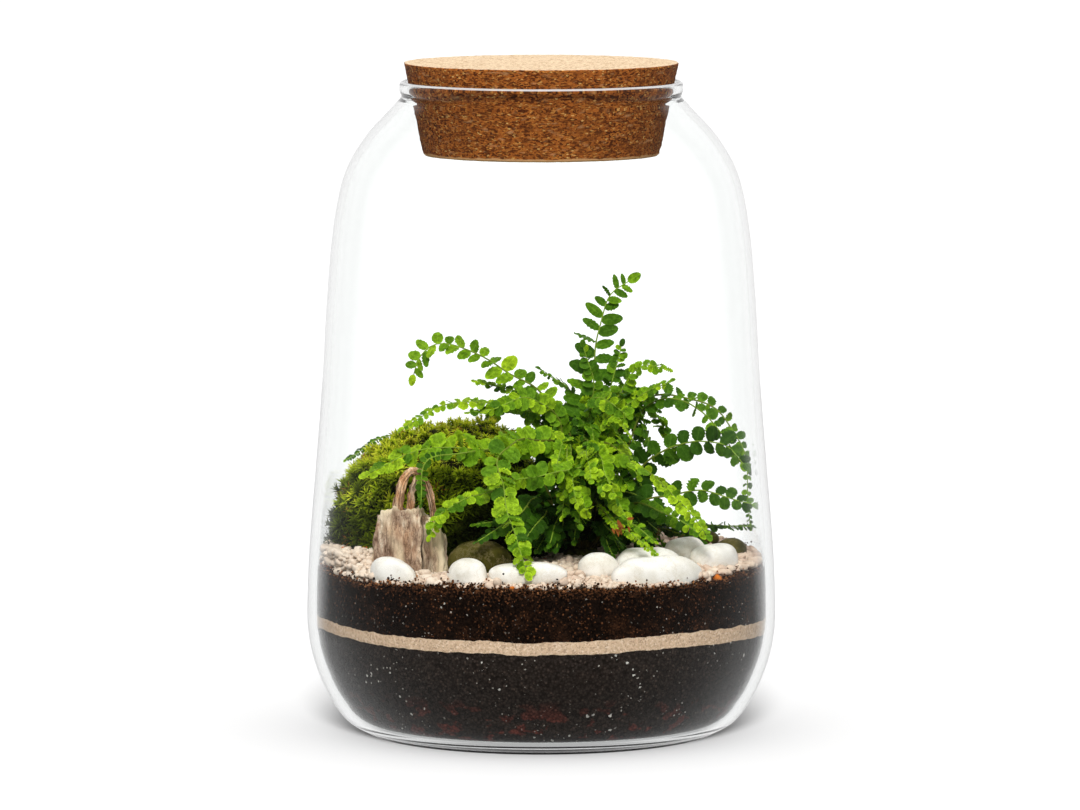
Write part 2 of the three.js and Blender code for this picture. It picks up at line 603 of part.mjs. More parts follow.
const stones = looseStones();
const sockets = [
  ...stones.map((stone) => stone.socket),
  footSocket(mossOutline(), MOSS_CENTRE, 1.5),
  footSocket(driftwoodOutline(), WOOD_AT, 0.6),
  footSocket(crownOutline(), CROWN, 0.4),
];
addPiece("gravel", gravelGeometry(sockets), "gravel");
stones.forEach(({ name, geometry }) =>
  addPiece(name, geometry, name.startsWith("white") ? "whiteStone" : "riverStone"),
);
addPiece("driftwood", driftwoodGeometry(), "driftwood");
addPiece("moss", mossGeometry(), "moss");
addPiece("fern_crown", crownGeometry(), "moss");
const taken = [];
FRONDS.forEach((frond, i) =>
  addPiece(`frond_${String(i + 1).padStart(2, "0")}`, frondGeometry(frond, taken), "fern"),
);

export default terrarium;
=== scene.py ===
"""The looks of a corked glass terrarium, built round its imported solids.

Lengths in this file are millimetres until a mesh is made, in the frame of the solids: +Z up, -Y the front.
"""
import math

import bmesh
import bpy
import numpy as np
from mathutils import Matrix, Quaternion, Vector, noise


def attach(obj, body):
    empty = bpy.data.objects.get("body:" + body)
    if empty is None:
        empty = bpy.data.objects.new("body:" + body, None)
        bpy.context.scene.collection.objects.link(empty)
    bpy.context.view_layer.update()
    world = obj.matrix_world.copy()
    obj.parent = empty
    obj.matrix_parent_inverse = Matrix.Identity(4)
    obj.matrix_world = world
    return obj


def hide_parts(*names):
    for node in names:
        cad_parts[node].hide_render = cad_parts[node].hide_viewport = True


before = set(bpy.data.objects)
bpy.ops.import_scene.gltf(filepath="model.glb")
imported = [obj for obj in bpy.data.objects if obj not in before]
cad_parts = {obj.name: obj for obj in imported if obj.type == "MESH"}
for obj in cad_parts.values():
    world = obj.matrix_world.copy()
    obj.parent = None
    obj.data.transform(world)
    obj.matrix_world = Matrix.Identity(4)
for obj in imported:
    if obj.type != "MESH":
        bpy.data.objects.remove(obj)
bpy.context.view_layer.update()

MM = 0.001  # metres in a millimetre
TURN = 2 * math.pi
GOLDEN_ANGLE = 2.399963  # radians between two leaves of a whorl that never lines up
UP = np.array([0, 0, 1.0])
BODY = "root"
TINT = "tint"  # the name of each piece's shade, from 0 to 1
OWN_MAP = "leaf"  # the name of each piece's own map
GLASS_IOR = 1.5

# ---------------------------------------------------------------- sizes shared with the solids

SIDES = 40
GAP = 0.3
JAR_OUTSIDE = [
    (74, 0), (83.5, 4.8), (91, 15.2), (96.5, 28), (99.3, 40), (100, 52), (99, 78), (96.4, 110),
    (93.2, 150), (91.2, 184), (88.4, 215), (83.6, 237.5), (75, 253), (65.5, 263.6), (60, 269.6),
]  # (radius, height)
WALL_LOW, WALL_HIGH = 4, 3
WALL_THINS_TO = 150  # the height where the wall is down to WALL_HIGH
FLOOR = 5
LIP_OUTER, LIP_INNER = 60.2, 56.8
LIP_LOW, LIP_TOP = 271.5, 277
CORK_TOP, CORK_BOTTOM = 285, 245.5
CORK_TOP_RADIUS, CORK_BOTTOM_RADIUS = 58.4, 50

# The planes between the layers: height on the axis, slope along X, slope along Y.
FLOOR_PLANE = (FLOOR + GAP, 0, 0)
DRAINAGE_TOP = (17.5, 0, 0)
SAND_LOW = (43.1, -0.0116, -0.023)
SAND_TOP = (48.7, -0.003, -0.019)
SOIL_TOP = (69.8, 0.02, -0.016)

MOSS_CENTRE = (-38, 14)
MOSS_LEFT, MOSS_RIGHT, MOSS_DEEP = 57, 41, 47
MOSS_HEIGHT = 62
MOSS_LEAN = 0.1

CROWN = (16, 5)
CROWN_TOP = 78
CROWN_RADIUS = 10
WOOD_AT = (-54, -45.3)


# ---------------------------------------------------------------- numbers

def mix(a, b, t):
    return a + (b - a) * t


def clamp(x, low=0, high=1):
    return min(high, max(low, x))


def unit(v):
    return v / max(np.linalg.norm(v), 1e-9)


def polar(radius, angle):
    return radius * math.cos(angle), radius * math.sin(angle)


def random_stream(seed):
    """The same repeatable stream of numbers from 0 to 1 that shapes the solids' stones."""
    state = seed

    def imul(a, b):
        return (a * b) & 0xFFFFFFFF

    def draw():
        nonlocal state
        state = (state + 0x6D2B79F5) & 0xFFFFFFFF
        bits = imul(state ^ (state >> 15), 1 | state)
        bits = ((bits + imul(bits ^ (bits >> 7), 61 | bits)) & 0xFFFFFFFF) ^ bits
        return (bits ^ (bits >> 14)) / 4294967296

    return draw


def catmull(p0, p1, p2, p3, t):
    """A point on a uniform Catmull-Rom segment from p1 to p2."""
    v0 = (p2 - p0) * 0.5
    v1 = (p3 - p1) * 0.5
    return (2 * p1 - 2 * p2 + v0 + v1) * t**3 + (-3 * p1 + 3 * p2 - 2 * v0 - v1) * t**2 + v0 * t + p1


def spline(points, steps, open_ends=True):
    """Evenly parametrised points on a spline. open_ends: its ends carry on as they come in."""
    pts = [np.array(p, float) for p in points]
    first = 2 * pts[0] - pts[1] if open_ends else pts[0]
    last = 2 * pts[-1] - pts[-2] if open_ends else pts[-1]
    padded = [first, *pts, last]
    out = []
    for i in range(steps + 1):
        at = i / steps * (len(pts) - 1)
        k = min(int(at), len(pts) - 2)
        out.append(catmull(*padded[k : k + 4], at - k))
    return np.array(out)


def level(plane, x, y):
    height, slope_x, slope_y = plane
    return height + slope_x * x + slope_y * y


def rough(x, y, z, size):
    """Smooth noise from -1 to 1 with features of a size in millimetres."""
    return noise.noise(Vector((x / size, y / size, z / size))) * 2


# ---------------------------------------------------------------- the jar's inside

def jar_profiles(steps):
    outside = spline(JAR_OUTSIDE, steps, open_ends=False)
    along = np.gradient(outside, axis=0)
    along /= np.linalg.norm(along, axis=1)[:, None]
    wall = mix(WALL_LOW, WALL_HIGH, np.clip(outside[:, 1] / WALL_THINS_TO, 0, 1))
    inside = np.stack([outside[:, 0] - along[:, 1] * wall, outside[:, 1] + along[:, 0] * wall], axis=1)
    return outside, inside


JAR_OUT, JAR_IN = jar_profiles(120)


def inner_radius(z):
    return np.interp(z, JAR_IN[:, 1], JAR_IN[:, 0])


def all_into_glass(points, margin):
    """The points, each moved in towards the axis where it would come nearer to the glass than a margin."""
    points = np.array(points, float)
    most = inner_radius(points[:, 2]) * math.cos(math.pi / SIDES) - margin
    radius = np.hypot(points[:, 0], points[:, 1])
    points[:, :2] *= np.minimum(1, most / np.maximum(radius, 1e-6))[:, None]
    return points


def into_glass(point, margin):
    return all_into_glass([point], margin)[0]


# ---------------------------------------------------------------- meshes

def piece(name, points, faces, material, stands_for=(), smooth=True, tint=None, uv=None):
    """A mesh object from points in millimetres, riding on the one body."""
    mesh = bpy.data.meshes.new(name)
    mesh.from_pydata((np.asarray(points, float) * MM).tolist(), [], [tuple(f) for f in faces])
    mesh.validate()
    if smooth:
        mesh.polygons.foreach_set("use_smooth", [True] * len(mesh.polygons))
    if tint is not None:
        shades = mesh.attributes.new(TINT, "FLOAT", "POINT")
        shades.data.foreach_set("value", np.asarray(tint, np.float32))
    if uv is not None:
        corners = np.zeros(len(mesh.loops), np.int32)
        mesh.loops.foreach_get("vertex_index", corners)
        own_map = mesh.uv_layers.new(name=OWN_MAP)
        own_map.data.foreach_set("uv", np.asarray(uv, np.float32)[corners].ravel())
    mesh.materials.append(material)
    made = bpy.data.objects.new(name, mesh)
    bpy.context.scene.collection.objects.link(made)
    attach(made, BODY)
    present = [n for n in stands_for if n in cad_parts]
    if present:
        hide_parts(*present)
    return made


class Heap:
    """Many small meshes gathered into one."""

    def __init__(self):
        self.points, self.faces, self.tints, self.uvs = [], [], [], []
        self.count = 0

    def add(self, points, faces, tint=0.5, uv=None):
        self.points.append(np.asarray(points, float))
        self.faces.extend([tuple(i + self.count for i in face) for face in faces])
        self.tints.append(np.full(len(points), tint) if np.isscalar(tint) else np.asarray(tint))
        self.uvs.append(np.zeros((len(points), 2)) if uv is None else np.asarray(uv))
        self.count += len(points)

    def piece(self, name, material, slot, stands_for=(), smooth=True):
        return piece(
            name, np.concatenate(self.points), self.faces, material, stands_for, smooth,
            np.concatenate(self.tints), np.concatenate(self.uvs),
        )


def band(low, high, sides):
    """The faces between two rows of points that start at these two numbers."""
    return [(low + i, low + (i + 1) % sides, high + (i + 1) % sides, high + i) for i in range(sides)]


def closed_skin(rows, sides):
    """The faces of a closed surface whose points are a pole, rows of points round it, and a pole again."""
    faces = []
    for row in range(rows - 1):
        faces += band(1 + row * sides, 1 + (row + 1) * sides, sides)
    last = 1 + (rows - 1) * sides
    for i in range(sides):
        j = (i + 1) % sides
        faces.append((0, 1 + j, 1 + i))
        faces.append((last + sides, last + i, last + j))
    return faces


def turned(profile, sides, bumps=lambda x, y, r, z: (0, 0)):
    """Points and faces of a surface turned about +Z. Its profile starts and ends on the axis."""
    points = [(0, 0, profile[0][1])]
    for r, z in profile[1:-1]:
        for i in range(sides):
            angle = i / sides * TURN
            out, up = bumps(*polar(r, angle), r, z)
            points.append((*polar(r + out, angle), z + up))
    points.append((0, 0, profile[-1][1]))
    return points, closed_skin(len(profile) - 2, sides)


def icosphere(detail):
    """Unit points and faces of a ball."""
    shell = bmesh.new()
    bmesh.ops.create_icosphere(shell, subdivisions=detail, radius=1)
    points = np.array([v.co[:] for v in shell.verts])
    faces = [tuple(v.index for v in f.verts) for f in shell.faces]
    shell.free()
    return points, faces


def tube(path, radii, sides):
    """Points and faces of a closed bar along a path."""
    path = np.asarray(path, float)
    along = np.gradient(path, axis=0)
    points = [path[0]]
    side = unit(np.cross(along[0], (0.3, 0.2, 1.0)))
    for at, way, radius in zip(path, along, radii):
        way = unit(way)
        side = unit(side - way * side.dot(way))
        other = np.cross(way, side)
        for i in range(sides):
            angle = i / sides * TURN
            points.append(at + radius * (math.cos(angle) * side + math.sin(angle) * other))
    points.append(path[-1])
    return np.array(points), closed_skin(len(path), sides)


# ---------------------------------------------------------------- materials

def node(tree, kind, inputs=None, **settings):
    """A shader node with its settings and its inputs, each a value or the socket that feeds it."""
    made = tree.nodes.new(kind)
    for name, value in settings.items():
        setattr(made, name, value)
    for name, value in (inputs or {}).items():
        if isinstance(value, bpy.types.NodeSocket):
            tree.links.new(value, made.inputs[name])
        else:
            made.inputs[name].default_value = value
    return made


def new_material(name):
    """An empty node material and its tree."""
    material = bpy.data.materials.new(name)
    material.use_nodes = True
    material.node_tree.nodes.clear()
    return material, material.node_tree


def place(tree):
    """Where the surface is, in the model's own metres."""
    return node(tree, "ShaderNodeTexCoord").outputs["Object"]


def finished(material, shader):
    """The material with its shader in place."""
    node(material.node_tree, "ShaderNodeOutputMaterial", {"Surface": shader})
    return material


def calc(tree, operation, *values):
    """A number worked out from numbers and sockets."""
    return node(tree, "ShaderNodeMath", dict(enumerate(values)), operation=operation).outputs[0]


def parts_of(tree, vector):
    """A vector's X, Y and Z."""
    return node(tree, "ShaderNodeSeparateXYZ", {"Vector": vector}).outputs


def from_half(tree, value):
    """How far a value is from 0.5."""
    return calc(tree, "ABSOLUTE", calc(tree, "SUBTRACT", value, 0.5))


def ramp(tree, value, stops):
    """A colour for each value: stops are (position, (r, g, b))."""
    made = node(tree, "ShaderNodeValToRGB", {"Fac": value})
    elements = made.color_ramp.elements
    while len(elements) < len(stops):
        elements.new(0.5)
    for element, (position, colour) in zip(elements, stops):
        element.position = position
        element.color = (*colour, 1)
    return made.outputs["Color"]


def grey(tree, value, low, high, out_low=0.0, out_high=1.0):
    """value, stretched so that low to high becomes out_low to out_high."""
    made = node(tree, "ShaderNodeMapRange", {
        "Value": value, "From Min": low, "From Max": high, "To Min": out_low, "To Max": out_high,
    })
    return made.outputs["Result"]


def blend(tree, share, first, second):
    """The first colour, with a share of the second over it."""
    made = node(tree, "ShaderNodeMix", {0: share}, data_type="RGBA")
    for index, value in ((6, first), (7, second)):
        if isinstance(value, bpy.types.NodeSocket):
            tree.links.new(value, made.inputs[index])
        else:
            made.inputs[index].default_value = (*value, 1)
    return made.outputs[2]


def stretched(tree, where, stretch):
    if not stretch:
        return where
    return node(tree, "ShaderNodeMapping", {"Vector": where, "Scale": stretch}).outputs["Vector"]


def fractal(tree, where, scale, detail=4, roughness=0.6, stretch=None):
    """Cloudy noise from 0 to 1."""
    made = node(tree, "ShaderNodeTexNoise", {
        "Vector": stretched(tree, where, stretch), "Scale": scale, "Detail": detail, "Roughness": roughness,
    })
    return made.outputs["Fac"]


def cells(tree, where, scale, stretch=None):
    """A cell texture: how far the cell's middle is, and two chance numbers of the cell."""
    made = node(tree, "ShaderNodeTexVoronoi", {"Vector": stretched(tree, where, stretch), "Scale": scale})
    parts = node(tree, "ShaderNodeSeparateColor", {"Color": made.outputs["Color"]})
    return made.outputs["Distance"], parts.outputs["Red"], parts.outputs["Green"]


def bump(tree, height, strength, distance):
    made = node(tree, "ShaderNodeBump", {"Height": height, "Strength": strength, "Distance": distance * MM})
    return made.outputs["Normal"]


def skin_of(tree, colour, roughness, gloss, normal=None):
    """The shader of a plain surface."""
    inputs = {"Base Color": colour, "Roughness": roughness, "Specular IOR Level": gloss}
    if normal is not None:
        inputs["Normal"] = normal
    return node(tree, "ShaderNodeBsdfPrincipled", inputs).outputs[0]


def either(tree, share, first, second):
    """The first shader, with a share of the second in its stead."""
    return node(tree, "ShaderNodeMixShader", {0: share, 1: first, 2: second}).outputs[0]


def lit_through(tree, share, shader, colour):
    """The shader with a share of light that comes through a thin leaf."""
    return either(tree, share, shader, node(tree, "ShaderNodeBsdfTranslucent", {"Color": colour}).outputs[0])


def tint_of(tree):
    return node(tree, "ShaderNodeAttribute", attribute_name=TINT).outputs["Fac"]


def map_of(tree):
    """The two coordinates of the piece's own map."""
    return parts_of(tree, node(tree, "ShaderNodeUVMap", uv_map=OWN_MAP).outputs["UV"])


def glass_material():
    """Clear glass that mirrors little face on. Light from lamps and onto the planting passes it straight, as
    it nearly does through a thin wall."""
    material, tree = new_material("clear_glass")
    glass = node(tree, "ShaderNodeBsdfPrincipled", {
        "Base Color": (0.985, 0.995, 0.99, 1), "Roughness": 0.0, "IOR": GLASS_IOR, "Transmission Weight": 1.0,
        "Specular Tint": (0.4, 0.4, 0.4, 1),
    })
    clear = node(tree, "ShaderNodeBsdfTransparent", {"Color": (0.98, 0.98, 0.98, 1)})
    ray = node(tree, "ShaderNodeLightPath").outputs
    unbent = calc(tree, "MAXIMUM", ray["Is Shadow Ray"], ray["Is Diffuse Ray"])
    return finished(material, either(tree, unbent, glass.outputs[0], clear.outputs[0]))


def lip_highlight_material():
    """A painted highlight along the top of the lip: a pale, half-clear band in place of the light that the
    lip catches.
    """
    material, tree = new_material("painted_lip_highlight")
    shader = node(tree, "ShaderNodeBsdfPrincipled", {
        "Base Color": (0.97, 0.97, 0.97, 1), "Roughness": 0.0, "IOR": GLASS_IOR, "Transmission Weight": 0.5,
    })
    return finished(material, shader.outputs[0])


def cork_material():
    """Pressed cork grains: short lying flakes, some dark, some pale. The top shows them sliced through, and
    is painted paler, as light from above would make it. A pale orange band on the lower bevel is a painted
    highlight.
    """
    material, tree = new_material("cork_agglomerate")
    where = place(tree)
    _, chance, _ = cells(tree, where, 1250, (0.8, 0.8, 1.7))
    _, coarse, _ = cells(tree, where, 480, (1, 1, 1.6))
    fine = fractal(tree, where, 1500, 4, 0.7, (1, 1, 1.8))
    wide = fractal(tree, where, 60)
    side = ramp(tree, chance, [
        (0.0, (0.05, 0.010, 0.002)), (0.26, (0.12, 0.026, 0.004)), (0.42, (0.40, 0.108, 0.016)),
        (0.80, (0.56, 0.165, 0.026)), (0.95, (0.66, 0.26, 0.05)), (1.0, (0.90, 0.56, 0.18)),
    ])
    side = blend(tree, grey(tree, coarse, 0.84, 0.9, 0, 0.5), side, (0.09, 0.022, 0.004))
    side = blend(tree, grey(tree, fine, 0.35, 0.58, 0.7, 0), side, (0.12, 0.034, 0.006))
    side = blend(tree, grey(tree, wide, 0.4, 0.7, 0, 0.3), side, (0.24, 0.075, 0.014))
    # The top's grains sliced through, with painted light from above that makes them paler.
    sliced_and_lit_top = blend(tree, grey(tree, chance, 0.05, 0.4), (0.46, 0.28, 0.13), (0.90, 0.72, 0.49))
    sliced_and_lit_top = blend(tree, grey(tree, fine, 0.4, 0.6, 0.6, 0), sliced_and_lit_top, (0.58, 0.36, 0.20))
    up = parts_of(tree, node(tree, "ShaderNodeNewGeometry").outputs["Normal"])["Z"]
    colour = blend(tree, grey(tree, up, 0.6, 0.9), side, sliced_and_lit_top)
    # Painted highlight: a pale orange band on the bevel at the foot.
    colour = blend(tree, grey(tree, up, -0.25, -0.45), colour, (0.95, 0.52, 0.23))
    return finished(material, skin_of(tree, colour, 0.8, 0.35, bump(tree, fine, 0.5, 0.4)))


def soil_material(name, dark, warm, warmth, grain, contrast, bed=None, bark=None):
    """Damp crumbs: near black, a share of warmth red-brown, strewn with pale specks. grain: crumbs in a
    metre. contrast: how far crumbs differ in shade. bed: a height and a depth in millimetres over which
    red-brown crumbs become common. bark: a colour of larger dim patches, which come with white chips."""
    material, tree = new_material(name)
    where = place(tree)
    distance, chance, other = cells(tree, where, grain)
    height = parts_of(tree, where)["Z"]
    share = grey(tree, chance, 1 - warmth, 1.0, 0, 0.9)
    if bed:
        near = grey(tree, height, (bed[0] - bed[1]) * MM, bed[0] * MM, 0, 1)
        share = calc(tree, "MAXIMUM", share, calc(tree, "MULTIPLY", near, grey(tree, other, 0.5, 0.8)))
    base = blend(tree, share, dark, warm)
    wide = fractal(tree, where, 60, 4, 0.65)
    base = blend(tree, grey(tree, wide, 0.50, 0.70, 0, 0.5), base, tuple(0.6 * c for c in warm))
    if bark:
        patches = grey(tree, fractal(tree, where, 130, 3, 0.5, (1, 1, 1.5)), 0.54, 0.60)
        low = grey(tree, height, 26 * MM, 12 * MM, 0.0, 0.85)
        base = blend(tree, calc(tree, "MULTIPLY", patches, low), base, bark)
    base = blend(tree, grey(tree, distance, 0.35, 0.7, 0, 0.6), base, (0.006, 0.004, 0.003))
    shade = grey(tree, other, 0.0, 1.0, 1 - contrast, 1 + 1.3 * contrast)
    base = node(tree, "ShaderNodeVectorMath", {0: base, "Scale": shade}, operation="SCALE").outputs[0]
    base = speckled(tree, where, base, 760, 0.14, (0.46, 0.43, 0.38), (0.46, 0.60, 0.2))
    if bark:
        base = speckled(tree, where, base, 420, 0.22, (0.70, 0.68, 0.62), (0.54, 0.60, 0.0))
    return finished(material, skin_of(tree, base, 0.8, 0.05, bump(tree, distance, 0.25, 0.35)))


def speckled(tree, where, base, scale, share, colour, gather):
    """The base colour with specks in a share of the cells. gather: where a broad noise starts and ends to let
    specks through, and how many it lets through elsewhere."""
    distance, chance, other = cells(tree, where, scale)
    torn = grey(tree, fractal(tree, where, scale * 2.5, 2, 0.5), 0.35, 0.65, 0.35, 1.5)
    reach = calc(tree, "MULTIPLY", grey(tree, other, 0, 1, 0.10, 0.30), torn)
    inside = calc(tree, "LESS_THAN", distance, reach)
    there = calc(tree, "MULTIPLY", inside, calc(tree, "GREATER_THAN", chance, 1 - share))
    broad = fractal(tree, where, 45, 2, 0.5)
    return blend(tree, calc(tree, "MULTIPLY", there, grey(tree, broad, *gather, 1)), base, colour)


def sand_material():
    material, tree = new_material("fine_sand")
    where = place(tree)
    distance, chance, _ = cells(tree, where, 1600)
    colour = ramp(tree, chance, [
        (0.0, (0.44, 0.30, 0.20)), (0.3, (0.62, 0.44, 0.29)), (0.8, (0.72, 0.53, 0.36)),
        (1.0, (0.82, 0.66, 0.50)),
    ])
    wide = fractal(tree, where, 60)
    colour = blend(tree, grey(tree, wide, 0.4, 0.7, 0, 0.25), colour, (0.40, 0.29, 0.2))
    return finished(material, skin_of(tree, colour, 0.9, 0.05, bump(tree, distance, 0.1, 0.12)))


def gravel_material():
    """Pinkish white grains, each of its own shade, with a rough sugary face."""
    material, tree = new_material("pale_gravel")
    where = place(tree)
    colour = ramp(tree, tint_of(tree), [
        (0.0, (0.17, 0.115, 0.085)), (0.15, (0.36, 0.25, 0.19)), (0.3, (0.64, 0.48, 0.37)),
        (0.6, (0.71, 0.56, 0.43)), (0.9, (0.84, 0.73, 0.60)), (0.97, (0.55, 0.13, 0.03)),
        (1.0, (0.62, 0.17, 0.02)),
    ])
    fine = fractal(tree, where, 900, 5, 0.7)
    colour = blend(tree, grey(tree, fine, 0.3, 0.48, 0.35, 0), colour, (0.48, 0.33, 0.24))
    return finished(material, skin_of(tree, colour, 0.65, 0.2, bump(tree, fine, 0.6, 0.35)))


def stone_material(name, stops, vein, vein_share, gloss):
    """A smoothed stone with soft clouds and faint veins."""
    material, tree = new_material(name)
    where = place(tree)
    colour = ramp(tree, fractal(tree, where, 90, 5), stops)
    veins = from_half(tree, fractal(tree, where, 55, 8, 0.75))
    colour = blend(tree, grey(tree, veins, 0.0, 0.02, vein_share, 0), colour, vein)
    fine = fractal(tree, where, 700, 4, 0.7)
    return finished(material, skin_of(tree, colour, 0.5, gloss, bump(tree, fine, 0.25, 0.25)))


def wood_material():
    """Weathered wood: pale and mottled with fine cracks, red-brown where the root's skin is left, with
    painted shade in the split and in the root's grooves. The first coordinate of the piece's own map is how
    much darker a point is. The second is how much paler it is: at the top rim, and on the block beside the
    split, partly by its own yellow-brown and partly as painted light where that block lies in shade."""
    material, tree = new_material("weathered_wood")
    where = place(tree)
    split_shade_and_pale = map_of(tree)
    mottle = fractal(tree, where, 290, 6, 0.72, (1, 1, 0.45))
    fibres = fractal(tree, where, 700, 4, 0.7, (1, 1, 0.10))
    broad = fractal(tree, where, 80, 3, 0.6, (1, 1, 0.5))
    cracks = from_half(tree, fractal(tree, where, 210, 7, 0.72, (1, 1, 0.42)))
    colour = ramp(tree, mottle, [
        (0.36, (0.10, 0.055, 0.035)), (0.45, (0.38, 0.26, 0.18)), (0.55, (0.62, 0.47, 0.34)),
        (0.68, (0.88, 0.76, 0.58)),
    ])
    colour = blend(tree, grey(tree, broad, 0.45, 0.7, 0, 0.45), colour, (0.40, 0.27, 0.17))
    bark = ramp(tree, mottle, [
        (0.3, (0.26, 0.085, 0.032)), (0.44, (0.78, 0.41, 0.20)), (0.6, (0.95, 0.68, 0.44)),
        (0.75, (0.95, 0.75, 0.55)),
    ])
    colour = blend(tree, tint_of(tree), colour, bark)
    colour = blend(tree, grey(tree, fibres, 0.34, 0.52, 0.65, 0), colour, (0.24, 0.14, 0.085))
    colour = blend(tree, grey(tree, cracks, 0.0, 0.020, 0.9, 0), colour, (0.10, 0.055, 0.035))
    # Paler at the top rim, and on the block beside the split: partly its own colour, partly painted light.
    colour = blend(tree, split_shade_and_pale["Y"], colour, (0.88, 0.74, 0.50))
    # Painted shade in the split and in the root's grooves.
    colour = blend(tree, split_shade_and_pale["X"], colour, (0.030, 0.016, 0.010))
    return finished(material, skin_of(tree, colour, 0.85, 0.1, bump(tree, mottle, 0.9, 0.9)))


def leaf_material():
    """Button fern leaflets: deep green to lime by their own tint, with pale veins, a painted highlight round
    the edge, painted shade in the middle and painted light and shade on the crinkles. The piece's own map
    runs along the leaflet, and across it from -1 to 1."""
    material, tree = new_material("fern_leaf")
    where = place(tree)
    own = map_of(tree)
    along, across = own["X"], own["Y"]
    green = ramp(tree, tint_of(tree), [
        (0.0, (0.008, 0.030, 0.002)), (0.25, (0.034, 0.105, 0.004)), (0.5, (0.100, 0.245, 0.006)),
        (0.75, (0.22, 0.43, 0.007)), (1.0, (0.39, 0.61, 0.010)),
    ])
    off = calc(tree, "ABSOLUTE", across)
    lean = calc(tree, "SUBTRACT", along, calc(tree, "MULTIPLY", off, 0.9))
    stripe = calc(tree, "SINE", calc(tree, "MULTIPLY", lean, 42.0))
    long_part = calc(tree, "POWER", calc(tree, "MULTIPLY_ADD", along, 2.0, -1.0), 2.0)
    radius = calc(tree, "ADD", long_part, calc(tree, "POWER", off, 2.0))
    crumple = fractal(tree, where, 650, 3)
    blotch = fractal(tree, where, 320, 3)
    # Painted highlight round the leaflet's edge, broken up by the crinkles.
    rim_highlight = grey(tree, radius, 0.62, 0.98, 0, 0.9)
    rim_highlight = calc(tree, "MULTIPLY", rim_highlight, grey(tree, crumple, 0.35, 0.6, 0.25, 0.9))
    veins, rib = grey(tree, stripe, 0.5, 1.0, 0, 0.3), grey(tree, off, 0.0, 0.10, 0.5, 0)
    marks = calc(tree, "MAXIMUM", calc(tree, "MAXIMUM", veins, rib), rim_highlight)
    # A paler green, for the veins and for the painted highlights.
    bright = node(tree, "ShaderNodeVectorMath", {
        0: green, 1: (1.75, 1.6, 3.5), 2: (0.03, 0.045, 0.010),
    }, operation="MULTIPLY_ADD").outputs[0]
    # Painted shade in the leaflet's middle.
    colour = blend(tree, grey(tree, radius, 0.1, 0.6, 0.35, 0), green, (0.03, 0.10, 0.004))
    colour = blend(tree, marks, colour, bright)
    # Painted highlights on the crinkles.
    colour = blend(tree, grey(tree, crumple, 0.48, 0.68, 0, 0.4), colour, bright)
    colour = blend(tree, grey(tree, blotch, 0.48, 0.68, 0, 0.5), colour, (0.035, 0.12, 0.005))
    # Painted shade in the crinkles.
    colour = blend(tree, grey(tree, crumple, 0.46, 0.3, 0, 0.5), colour, (0.02, 0.07, 0.003))
    shine = skin_of(tree, colour, 0.42, 0.25, bump(tree, crumple, 0.6, 0.5))
    return finished(material, lit_through(tree, 0.3, shine, colour))


def tinted_material(name, roughness, stops, translucent=0.0):
    """A plain skin whose shade runs along the piece's own tint."""
    material, tree = new_material(name)
    where = place(tree)
    colour = ramp(tree, tint_of(tree), stops)
    mottle = fractal(tree, where, 500, 3)
    colour = blend(tree, grey(tree, mottle, 0.45, 0.75, 0, 0.4), colour, stops[0][1])
    shader = skin_of(tree, colour, roughness, 0.2)
    return finished(material, lit_through(tree, translucent, shader, colour) if translucent else shader)


GLASS = glass_material()
LIP_HIGHLIGHT = lip_highlight_material()
CORK = cork_material()
BARK = (0.170, 0.040, 0.028)
DRAINAGE = soil_material(
    "bark_and_lava", dark=(0.035, 0.026, 0.021), warm=(0.065, 0.045, 0.034), warmth=0.3, grain=900,
    contrast=0.35, bark=BARK,
)
LOWER_SOIL = soil_material(
    "packed_soil", dark=(0.027, 0.021, 0.0175), warm=(0.050, 0.036, 0.029), warmth=0.3, grain=1000,
    contrast=0.35, bark=BARK,
)
UPPER_SOIL = soil_material(
    "loose_soil", dark=(0.007, 0.0035, 0.002), warm=(0.105, 0.040, 0.016), warmth=0.14, grain=1450,
    contrast=0.65, bed=(73.5, 6),
)
SAND = sand_material()
PALE_GRAVEL = gravel_material()
WHITE_STONE = stone_material("white_pebble", [
    (0.3, (0.70, 0.66, 0.56)), (0.5, (0.85, 0.82, 0.75)), (0.75, (0.92, 0.90, 0.85)),
], vein=(0.62, 0.55, 0.42), vein_share=0.45, gloss=0.3)
RIVER_STONE = stone_material("river_stone", [
    (0.3, (0.022, 0.020, 0.003)), (0.5, (0.056, 0.050, 0.008)), (0.75, (0.13, 0.108, 0.030)),
], vein=(0.20, 0.16, 0.08), vein_share=0.5, gloss=0.05)
WOOD = wood_material()
LEAF = leaf_material()
CRUMB = tinted_material("soil_crumb", 0.85, [
    (0.0, (0.010, 0.005, 0.003)), (0.4, (0.055, 0.022, 0.010)), (0.75, (0.16, 0.062, 0.024)),
    (1.0, (0.38, 0.17, 0.07)),
])
STEM = tinted_material("fern_stem", 0.5, [
    (0.0, (0.05, 0.03, 0.01)), (0.5, (0.14, 0.16, 0.02)), (1.0, (0.26, 0.42, 0.04)),
])
DRY_LEAF = tinted_material("dry_leaf", 0.7, [
    (0.0, (0.08, 0.022, 0.006)), (0.5, (0.34, 0.11, 0.02)), (1.0, (0.52, 0.24, 0.05)),
])
MOSS = tinted_material("star_moss", 0.55, [
    (0.0, (0.012, 0.018, 0.002)), (0.3, (0.11, 0.155, 0.005)), (0.6, (0.43, 0.57, 0.012)),
    (0.85, (0.74, 0.78, 0.04)), (0.93, (0.42, 0.20, 0.03)), (1.0, (0.30, 0.10, 0.02)),
], translucent=0.3)
# Painted shade: the heart under the moss shoots is near black.
MOSS_HEART = tinted_material("moss_heart", 0.9, [
    (0.0, (0.012, 0.010, 0.004)), (0.5, (0.035, 0.038, 0.006)), (1.0, (0.08, 0.09, 0.012)),
])


# ---------------------------------------------------------------- jar and stopper

